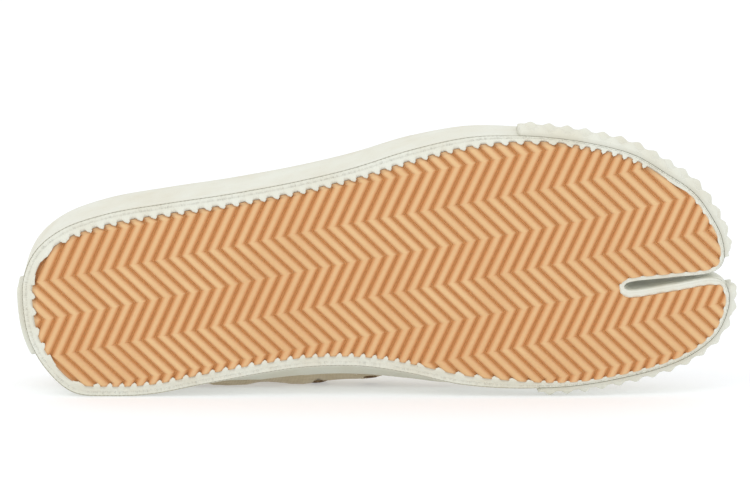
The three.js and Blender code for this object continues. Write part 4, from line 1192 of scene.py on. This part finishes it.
# Footbed: a padded sheet inside the upper, with a rounded edge
insole = {"spacing": 2.0, "bonded": 0.05, "straightTo": 150, "step": 3, "rings": 12, "first": 0.12, "dish": 0.5}
# way in from its line, share of the way from the lower face to the upper, rise from there
insoleRim = [[0.2, 0, 0], [0, 0, 1], [0, 1, -1.2], [0.5, 1, -0.3], [1.6, 1, 0]]


def makeInsole():
    ribs = ribLoop(insole["spacing"])
    faceHeights = layer["sole"] + insole["bonded"], layer["sole"] + layer["insole"]
    rows = []
    for inset, face, rise in insoleRim:
        flat = ribs["foot"] - ribs["out"] * (layer["inset"] + inset)
        rows.append(np.concatenate([flat, np.full((len(flat), 1), faceHeights[face] + rise)], axis=1))
    centre = ribs["top"][:, :2].copy()
    # both sides meet at the same points under the straight part of the ridge line
    straight = centre[:, 0] < insole["straightTo"]
    order = np.argsort(centre[:, 0])
    shared = np.round(centre[straight, 0] / insole["step"]) * insole["step"]
    centre[straight] = np.stack([shared, np.interp(shared, *centre[order].T)], axis=1)
    start = rows[-1][:, :2]
    for share in np.linspace(insole["first"], 1, insole["rings"]):
        dish = insole["dish"] * math.sin(min(share * 2.2, 1) * math.pi / 2)
        height = np.full((len(start), 1), faceHeights[1] - dish)
        rows.append(np.concatenate([start + (centre - start) * share, height], axis=1))
    under = np.concatenate([centre, np.full((len(centre), 1), faceHeights[0])], axis=1)
    grid = np.stack([*rows, under], axis=1)
    faces = gridQuads(*grid.shape[:2], True, True)
    uv = grid[..., :2].reshape(-1, 2)
    return makePiece("insoleFootbed", lift(grid).reshape(-1, 3), faces, insoleDrill,
                     ["insole"], uv=uv, merge=0.02)


# Tongue: a flat pad under the quarters, wider at its free end
tongue = {
    "thickness": 2.6, "width": 42, "back": 98, "taper": 0.2, "raise": 0.3, "gap": 1.6, "round": 1.2, "rows": 64,
    "columns": 30, "backRound": 9, "backWidth": 0.78, "backSwell": 0.22, "thinnest": 0.02,
}


def makeTongue():
    front = throat["front"] + throat["round"]
    x = np.linspace(tongue["back"], front, tongue["rows"] + 1)
    narrowing = np.clip((x - throat["back"]) / (front - throat["back"]), 0, 1)
    fromBack = np.clip((x - tongue["back"]) / tongue["backRound"], 0, 1)
    rounded = tongue["backWidth"] + tongue["backSwell"] * np.sqrt(1 - (1 - fromBack) ** 2)
    width = tongue["width"] * (1 - tongue["taper"] * narrowing) * rounded
    xs, us = np.meshgrid(x, np.linspace(-0.5, 0.5, tongue["columns"] + 1), indexing="ij")
    raised = tongue["raise"] * np.maximum(throat["back"] - xs, 0)
    toEnd = np.minimum(xs - tongue["back"], front - xs) / tongue["width"]
    side = np.minimum(0.5 - np.abs(us), toEnd) * tongue["width"]
    edgeShare = np.clip(side / tongue["round"], tongue["thinnest"], 1)
    half = tongue["thickness"] / 2 * np.sqrt(1 - (1 - edgeShare) ** 2)
    middle = layer["canvas"] + tongue["gap"] + tongue["thickness"] / 2
    place, normal = instepAt(xs.ravel(), (us * width[:, None]).ravel())
    place, normal = place.reshape(*xs.shape, 3), normal.reshape(*xs.shape, 3)
    skins = []
    for sign in (1, -1):
        points = place - normal * (middle - sign * half)[..., None]
        points[..., 2] += raised
        skins.append(points)
    bothSkins = lambda first, second: np.concatenate([first, second[:, ::-1]], axis=1)
    grid = bothSkins(*skins)
    uv = gridUV(bothSkins(xs, xs), bothSkins(us, us) * tongue["width"], grid.shape[:2])
    faces = np.concatenate([gridQuads(*grid.shape[:2], False, True), endQuads(*grid.shape[:2])])
    return makePiece("canvasTongue", grid.reshape(-1, 3), faces, cottonCanvas, ["tongue"],
                     uv=uv, sharp=80)


makeInsole()
makeTongue()

# An eyelet's section: a rolled flange over the canvas and a barrel through it
# share of the flange's width from the bore, height over the canvas as a share of the wall's rise
flangeRoll = [
    [0.0, 0.0], [0.04, 0.75], [0.16, 1.15], [0.36, 1.3], [0.6, 1.15], [0.82, 0.75], [0.97, 0.15], [1.0, -0.1],
]


def eyeletRing(place, normal, bore, flange):
    rise = layer["gap"] + eyelet["wall"]
    width = (flange - bore) / 2
    barrel = bore / 2 + eyelet["wall"]
    profile = [(bore / 2, -layer["canvas"])]
    profile += [(bore / 2 + share * width, height * rise) for share, height in flangeRoll]
    profile += [(flange / 2 - eyelet["fold"], -0.1), (barrel, 0.0), (barrel, -layer["canvas"])]
    first = unit(np.cross(normal, [0.3, 0.2, 0.93]))
    second = np.cross(normal, first)
    turn = np.linspace(0, 2 * math.pi, eyelet["spokes"], endpoint=False)
    spoke = np.cos(turn)[:, None] * first + np.sin(turn)[:, None] * second
    grid = np.stack([place + spoke * radius + normal * height for radius, height in profile], axis=1)
    return grid.reshape(-1, 3), gridQuads(*grid.shape[:2], True, True)


def makeEyelets(name, rings, nodes):
    points, faces = [], []
    for ring in rings:
        ringPoints, ringFaces = eyeletRing(*ring)
        faces.append(ringFaces + sum(len(p) for p in points))
        points.append(ringPoints)
    return makePiece(name, np.concatenate(points), np.concatenate(faces), eyeletMetal, nodes)


laceRings = [(p, n, eyelet["bore"], eyelet["flange"]) for p, n in laceHoles]
laceNodes = [f"lace_eyelet_{i + 1}_{side}" for side in ("lateral", "medial") for i in range(eyelet["pairs"])]
makeEyelets("laceEyelets", laceRings, laceNodes)
ventRings = [(p, n, eyelet["ventBore"], eyelet["ventFlange"]) for p, n in vents]
makeEyelets("ventEyelets", ventRings, ["vent_eyelet_1", "vent_eyelet_2"])
print("eyelets")

# Lace: a flat cotton ribbon, crossed through the eyelets, its hidden ends inside the top pair
ribbon = {
    "width": 7.5, "thickness": 1.3, "over": 1.55, "hump": 0.75, "humpShare": 0.16, "steps": 44, "under": 5.4,
    "dive": 0.1, "pinch": 0.52, "pinchGrowth": 1.25,
}
ribbonSection = [
    (-0.5, 0.0), (-0.46, 0.36), (-0.3, 0.5), (0, 0.5), (0.3, 0.5), (0.46, 0.36), (0.5, 0.0), (0.46, -0.36),
    (0.3, -0.5), (0, -0.5), (-0.3, -0.5), (-0.46, -0.36),
]


# A flat ribbon along a path of points with normals; wide is its width at each point
def ribbonGrid(path, normal, wide, thickness):
    along = unit(np.gradient(path, axis=0))
    side = unit(np.cross(normal, along))
    up = np.cross(along, side)
    lines = [path + side * (a * wide)[:, None] + up * (b * thickness) for a, b in ribbonSection]
    return np.stack(lines, axis=1)


# One strip over the instep between two holes; crossing is 1 over the other strip, -1 under it and 0 alone
def laceStrip(start, end, crossing):
    f = np.linspace(0, 1, ribbon["steps"] + 1)
    x = start[0] + (end[0] - start[0]) * f
    across = start[1] + (end[1] - start[1]) * f
    place, normal = instepAt(x, across)
    dive = np.clip(1 - np.minimum(f, 1 - f) / ribbon["dive"], 0, 1)
    hump = crossing * ribbon["hump"] * np.exp(-((f - 0.5) / ribbon["humpShare"]) ** 2)
    rise = ribbon["over"] + hump - dive ** 2 * ribbon["under"]
    wide = ribbon["width"] * (1 - ribbon["pinch"] * np.clip(ribbon["pinchGrowth"] * dive, 0, 1))
    return ribbonGrid(place + normal * rise[:, None], normal, wide, ribbon["thickness"])


def makeLace():
    rows = list(zip(lacing["x"], lacing["across"]))
    strips = [laceStrip((rows[0][0], -rows[0][1]), (rows[0][0], rows[0][1]), 0)]
    for i, ((x0, y0), (x1, y1)) in enumerate(zip(rows[:-1], rows[1:])):
        over = 1 if i % 2 else -1
        strips.append(laceStrip((x0, -y0), (x1, y1), over))
        strips.append(laceStrip((x0, y0), (x1, -y1), -over))
    points, faces, uvs = [], [], []
    for grid in strips:
        count, columns = grid.shape[:2]
        offset = sum(len(p) for p in points)
        around = gridQuads(count, columns, False, True)
        faces += (around + offset).tolist() + [[offset + k for k in cap] for cap in endFaces(count, columns)]
        points.append(grid.reshape(-1, 3))
        uvs.append(gridUV(lengthsOf(grid[:, 3])[:, None], lengthsOf(grid[count // 2]), (count, columns)))
    return makePiece("cottonLace", np.concatenate(points), faces, laceCotton, ["lace"],
                     uv=np.concatenate(uvs), sharp=80)


makeLace()
print("lace")

# Stitches: rows of thread on the upper, about 8 to the inch, set by Geometry Nodes
sewing = {
    "pitch": 3.1, "length": 2.5, "width": 0.62, "height": 0.5, "proud": 0.05, "rows": (1.9, 4.3), "spacing": 1.5,
    "levels": 90, "stay": 15.5, "stayFront": 15, "stayEnds": (4, 6), "stayRows": (0, 1.7), "backStay": 9,
    "backLevels": (0.42, 0.95), "seamRows": (0, 2.0), "seamFrom": (196, 0.9), "seamTo": (186, 0.3),
    "seamBend": 1.5, "centre": (208, 236), "centreSide": 1.7, "centreHeight": (70, 56), "samples": 30,
}


# The nearest points of the outer canvas to points in shoe axes, with its normals, in the row frame
def ontoUpper(points):
    found = [outerCanvas.find_nearest(Vector(p))[:2] for p in toRow(points)]
    return np.array([f[0] for f in found]), np.array([f[1] for f in found])


# Places a pitch apart along a path, with the way along it and the normals
def stitchPlaces(path):
    place, normal = ontoUpper(path)
    lengths = lengthsOf(place) * perMetre
    count = max(2, int(lengths[-1] / sewing["pitch"]))
    at = np.linspace(0, lengths[-1], count + 1)
    at = (at[:-1] + at[1:]) / 2
    pick = lambda values: np.stack([np.interp(at, lengths, values[:, i]) for i in range(3)], axis=1)
    spots = pick(place)
    return spots, np.gradient(spots, axis=0), pick(normal)


# The path a distance below the edge of the opening, from one end of the throat round the heel to the other
def openingPath(distance):
    parts = ribLoop(sewing["spacing"])
    order = np.nonzero(parts["end"] < 1)[0]
    start = np.nonzero(np.diff(order) > 1)[0]
    order = np.concatenate([order[start[0] + 1:], order[:start[0] + 1]]) if len(start) else order
    ribs = {key: value[order] for key, value in parts.items()}
    grid = surfaceAt(ribs, np.linspace(0, 1, sewing["levels"])[None, :] * ribs["end"][:, None])
    fromEnd = np.swapaxes(lengthsOf(np.swapaxes(grid, 0, 1)[::-1]), 0, 1)[:, ::-1]
    path = [
        [np.interp(distance, arc[::-1], line[::-1, i]) for i in range(3)] for arc, line in zip(fromEnd, grid)
    ]
    return lift(np.array(path))


def stayPath(extra):
    back = np.linspace(throat["back"] + sewing["stayEnds"][0], throat["front"] - sewing["stayEnds"][1], 50)
    turn = np.linspace(-math.pi / 2, math.pi / 2, sewing["samples"])
    reach = sewing["stayFront"] + extra
    side = throatEdge(back) + sewing["stay"] + extra
    x = np.concatenate([back, back[-1] + reach * np.cos(turn), back[::-1]])
    y = np.concatenate([-side, side[-1] * np.sin(turn), side[::-1]])
    return instepAt(x, y)[0]


def wallPath(side, offset):
    share = np.linspace(0, 1, sewing["samples"])
    (x0, level0), (x1, level1) = sewing["seamFrom"], sewing["seamTo"]
    ribs = ribsAtX(x0 + offset + (x1 - x0) * share ** sewing["seamBend"], side)
    return lift(surfaceAt(ribs, (level0 + (level1 - level0) * share)[:, None])[:, 0])


def backPath(offset):
    ribs = ribsAt(heelPlaces(offset))
    levels = np.linspace(*sewing["backLevels"], 20) * ribs["end"][0]
    return lift(surfaceAt(ribs, levels[None, :])[0])


def centrePath(side):
    x = np.linspace(*sewing["centre"], 20)
    ends = [0.05 * last["ballWidth"], cleft["line"] - 1]
    y = np.interp(x, sewing["centre"], ends) + side * sewing["centreSide"]
    return np.stack([x, y, np.interp(x, sewing["centre"], sewing["centreHeight"])], axis=1)


def stitchNodes():
    tree = bpy.data.node_groups.new("stitchRow", "GeometryNodeTree")
    for name, kind in (("Geometry", "Geometry"), ("Stitch Size", "Vector"), ("Thread", "Material")):
        tree.interface.new_socket(name=name, in_out="INPUT", socket_type="NodeSocket" + kind)
    tree.interface.new_socket(name="Geometry", in_out="OUTPUT", socket_type="NodeSocketGeometry")
    add = lambda kind, inputs, **settings: addNode(tree, kind, inputs, **settings).outputs[0]
    start = addNode(tree, "NodeGroupInput").outputs
    ball = add("GeometryNodeMeshUVSphere", {"Segments": 8, "Rings": 6, "Radius": 0.5})
    stitch = add("GeometryNodeTransform", {"Geometry": ball, "Scale": start["Stitch Size"]})
    named, align = "GeometryNodeInputNamedAttribute", "FunctionNodeAlignRotationToVector"
    along, outward = (add(named, {"Name": name}, data_type="FLOAT_VECTOR") for name in ("along", "outward"))
    turn = add(align, {"Vector": along}, axis="X")
    turn = add(align, {"Rotation": turn, "Vector": outward}, axis="Z", pivot_axis="X")
    inputs = {"Points": start["Geometry"], "Instance": stitch, "Rotation": turn}
    rows = add("GeometryNodeInstanceOnPoints", inputs)
    real = add("GeometryNodeRealizeInstances", {"Geometry": rows})
    real = add("GeometryNodeSetShadeSmooth", {"Geometry": real})
    done = add("GeometryNodeSetMaterial", {"Geometry": real, "Material": start["Thread"]})
    addNode(tree, "NodeGroupOutput", {"Geometry": done})
    return tree


def makeStitches(name, paths):
    parts = [stitchPlaces(path) for path in paths]
    spots, along, normal = (np.concatenate(values) for values in zip(*parts))
    mesh = bpy.data.meshes.new(name + "Places")
    mesh.from_pydata((spots + normal * (sewing["proud"] / perMetre)).tolist(), [], [])
    for key, value in (("along", along), ("outward", normal)):
        data = mesh.attributes.new(key, "FLOAT_VECTOR", "POINT").data
        data.foreach_set("vector", unit(value).astype(np.float32).ravel())
    places = addObject(name + "Places", mesh)
    modifier = places.modifiers.new("stitches", "NODES")
    modifier.node_group = stitchTree
    size = [sewing[key] / perMetre for key in ("length", "width", "height")]
    inputs = {"Stitch Size": size, "Thread": stitchThread}
    for item in stitchTree.interface.items_tree:
        if item.in_out == "INPUT" and item.name in inputs:
            modifier[item.identifier] = inputs[item.name]
    places.update_tag()
    ready = places.evaluated_get(bpy.context.evaluated_depsgraph_get())
    piece = addObject(name, bpy.data.meshes.new_from_object(ready))
    bpy.data.objects.remove(places)
    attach(piece, "root")
    return piece


stitchTree = stitchNodes()
edgeRows = [openingPath(distance) for distance in sewing["rows"]]
stayRows = [stayPath(extra) for extra in sewing["stayRows"]]
seamRows = [wallPath(side, offset) for side in (-1, 1) for offset in sewing["seamRows"]]
backRows = [backPath(side * sewing["backStay"]) for side in (-1, 1)]
centreRows = [centrePath(side) for side in (-1, 1)]
stitches = makeStitches("upperStitches", edgeRows + stayRows + seamRows + backRows + centreRows)
print("stitches", len(stitches.data.polygons))

# Floor, lights and camera
stage = {"floor": 40.0, "color": (0.68, 0.7, 0.72, 1), "glow": 0.34, "world": 1.0, "aim": (0, 0, 0.05)}
# place, size, energy
lights = {"softKey": ((-0.7, -1.3, 1.6), 1.3, 6.0), "frontFill": ((0.9, -1.8, 0.5), 1.5, 1.5)}
camera = {
    "elevation": 5.67, "roll": 0.088, "distance": 1.2264, "target": (-0.00157, -0.041, 0.06298), "lens": 150,
    "sensor": 36, "clip": 0.05,
}


def makeFloor():
    mesh = bpy.data.meshes.new("studioFloor")
    half = stage["floor"] / 2
    corners = [(-half, -half, 0), (half, -half, 0), (half, half, 0), (-half, half, 0)]
    mesh.from_pydata(corners, [], [(0, 1, 2, 3)])
    material, _, shader = newMaterial("studioFloor", Roughness=0.9, Specular_IOR_Level=0.1)
    shader.inputs["Base Color"].default_value = stage["color"]
    shader.inputs["Emission Color"].default_value = (1, 1, 1, 1)
    shader.inputs["Emission Strength"].default_value = stage["glow"]
    mesh.materials.append(material)
    floor = addObject("studioFloor", mesh)


def makeLight(name, place, size, energy):
    data = bpy.data.lights.new(name, "AREA")
    data.shape, data.size, data.energy = "DISK", size, energy
    light = addObject(name, data)
    light.location = place
    light.rotation_euler = (Vector(stage["aim"]) - Vector(place)).to_track_quat("-Z", "Y").to_euler()


def makeCamera():
    tilt, roll = math.radians(camera["elevation"]), math.radians(camera["roll"])
    back = Vector((0, -math.cos(tilt), math.sin(tilt)))
    right, up = Vector((1, 0, 0)), Vector((0, math.sin(tilt), math.cos(tilt)))
    across = right * math.cos(roll) + up * math.sin(roll)
    over = up * math.cos(roll) - right * math.sin(roll)
    data = bpy.data.cameras.new("camera")
    data.lens, data.sensor_width, data.clip_start = camera["lens"], camera["sensor"], camera["clip"]
    view = addObject("camera", data)
    turned = Matrix((across, over, back)).transposed().to_4x4()
    turned.translation = Vector(camera["target"]) + back * camera["distance"]
    view.matrix_world = turned
    bpy.context.scene.camera = view


def makeWorld():
    world = bpy.data.worlds.new("studio")
    world.use_nodes = True
    background = world.node_tree.nodes["Background"].inputs
    background["Color"].default_value = (1, 1, 1, 1)
    background["Strength"].default_value = stage["world"]
    bpy.context.scene.world = world


makeFloor()
for name, settings in lights.items():
    makeLight(name, *settings)
makeCamera()
makeWorld()
bpy.context.scene.view_settings.view_transform = "Standard"
print("stage ready")
print("stage ready")
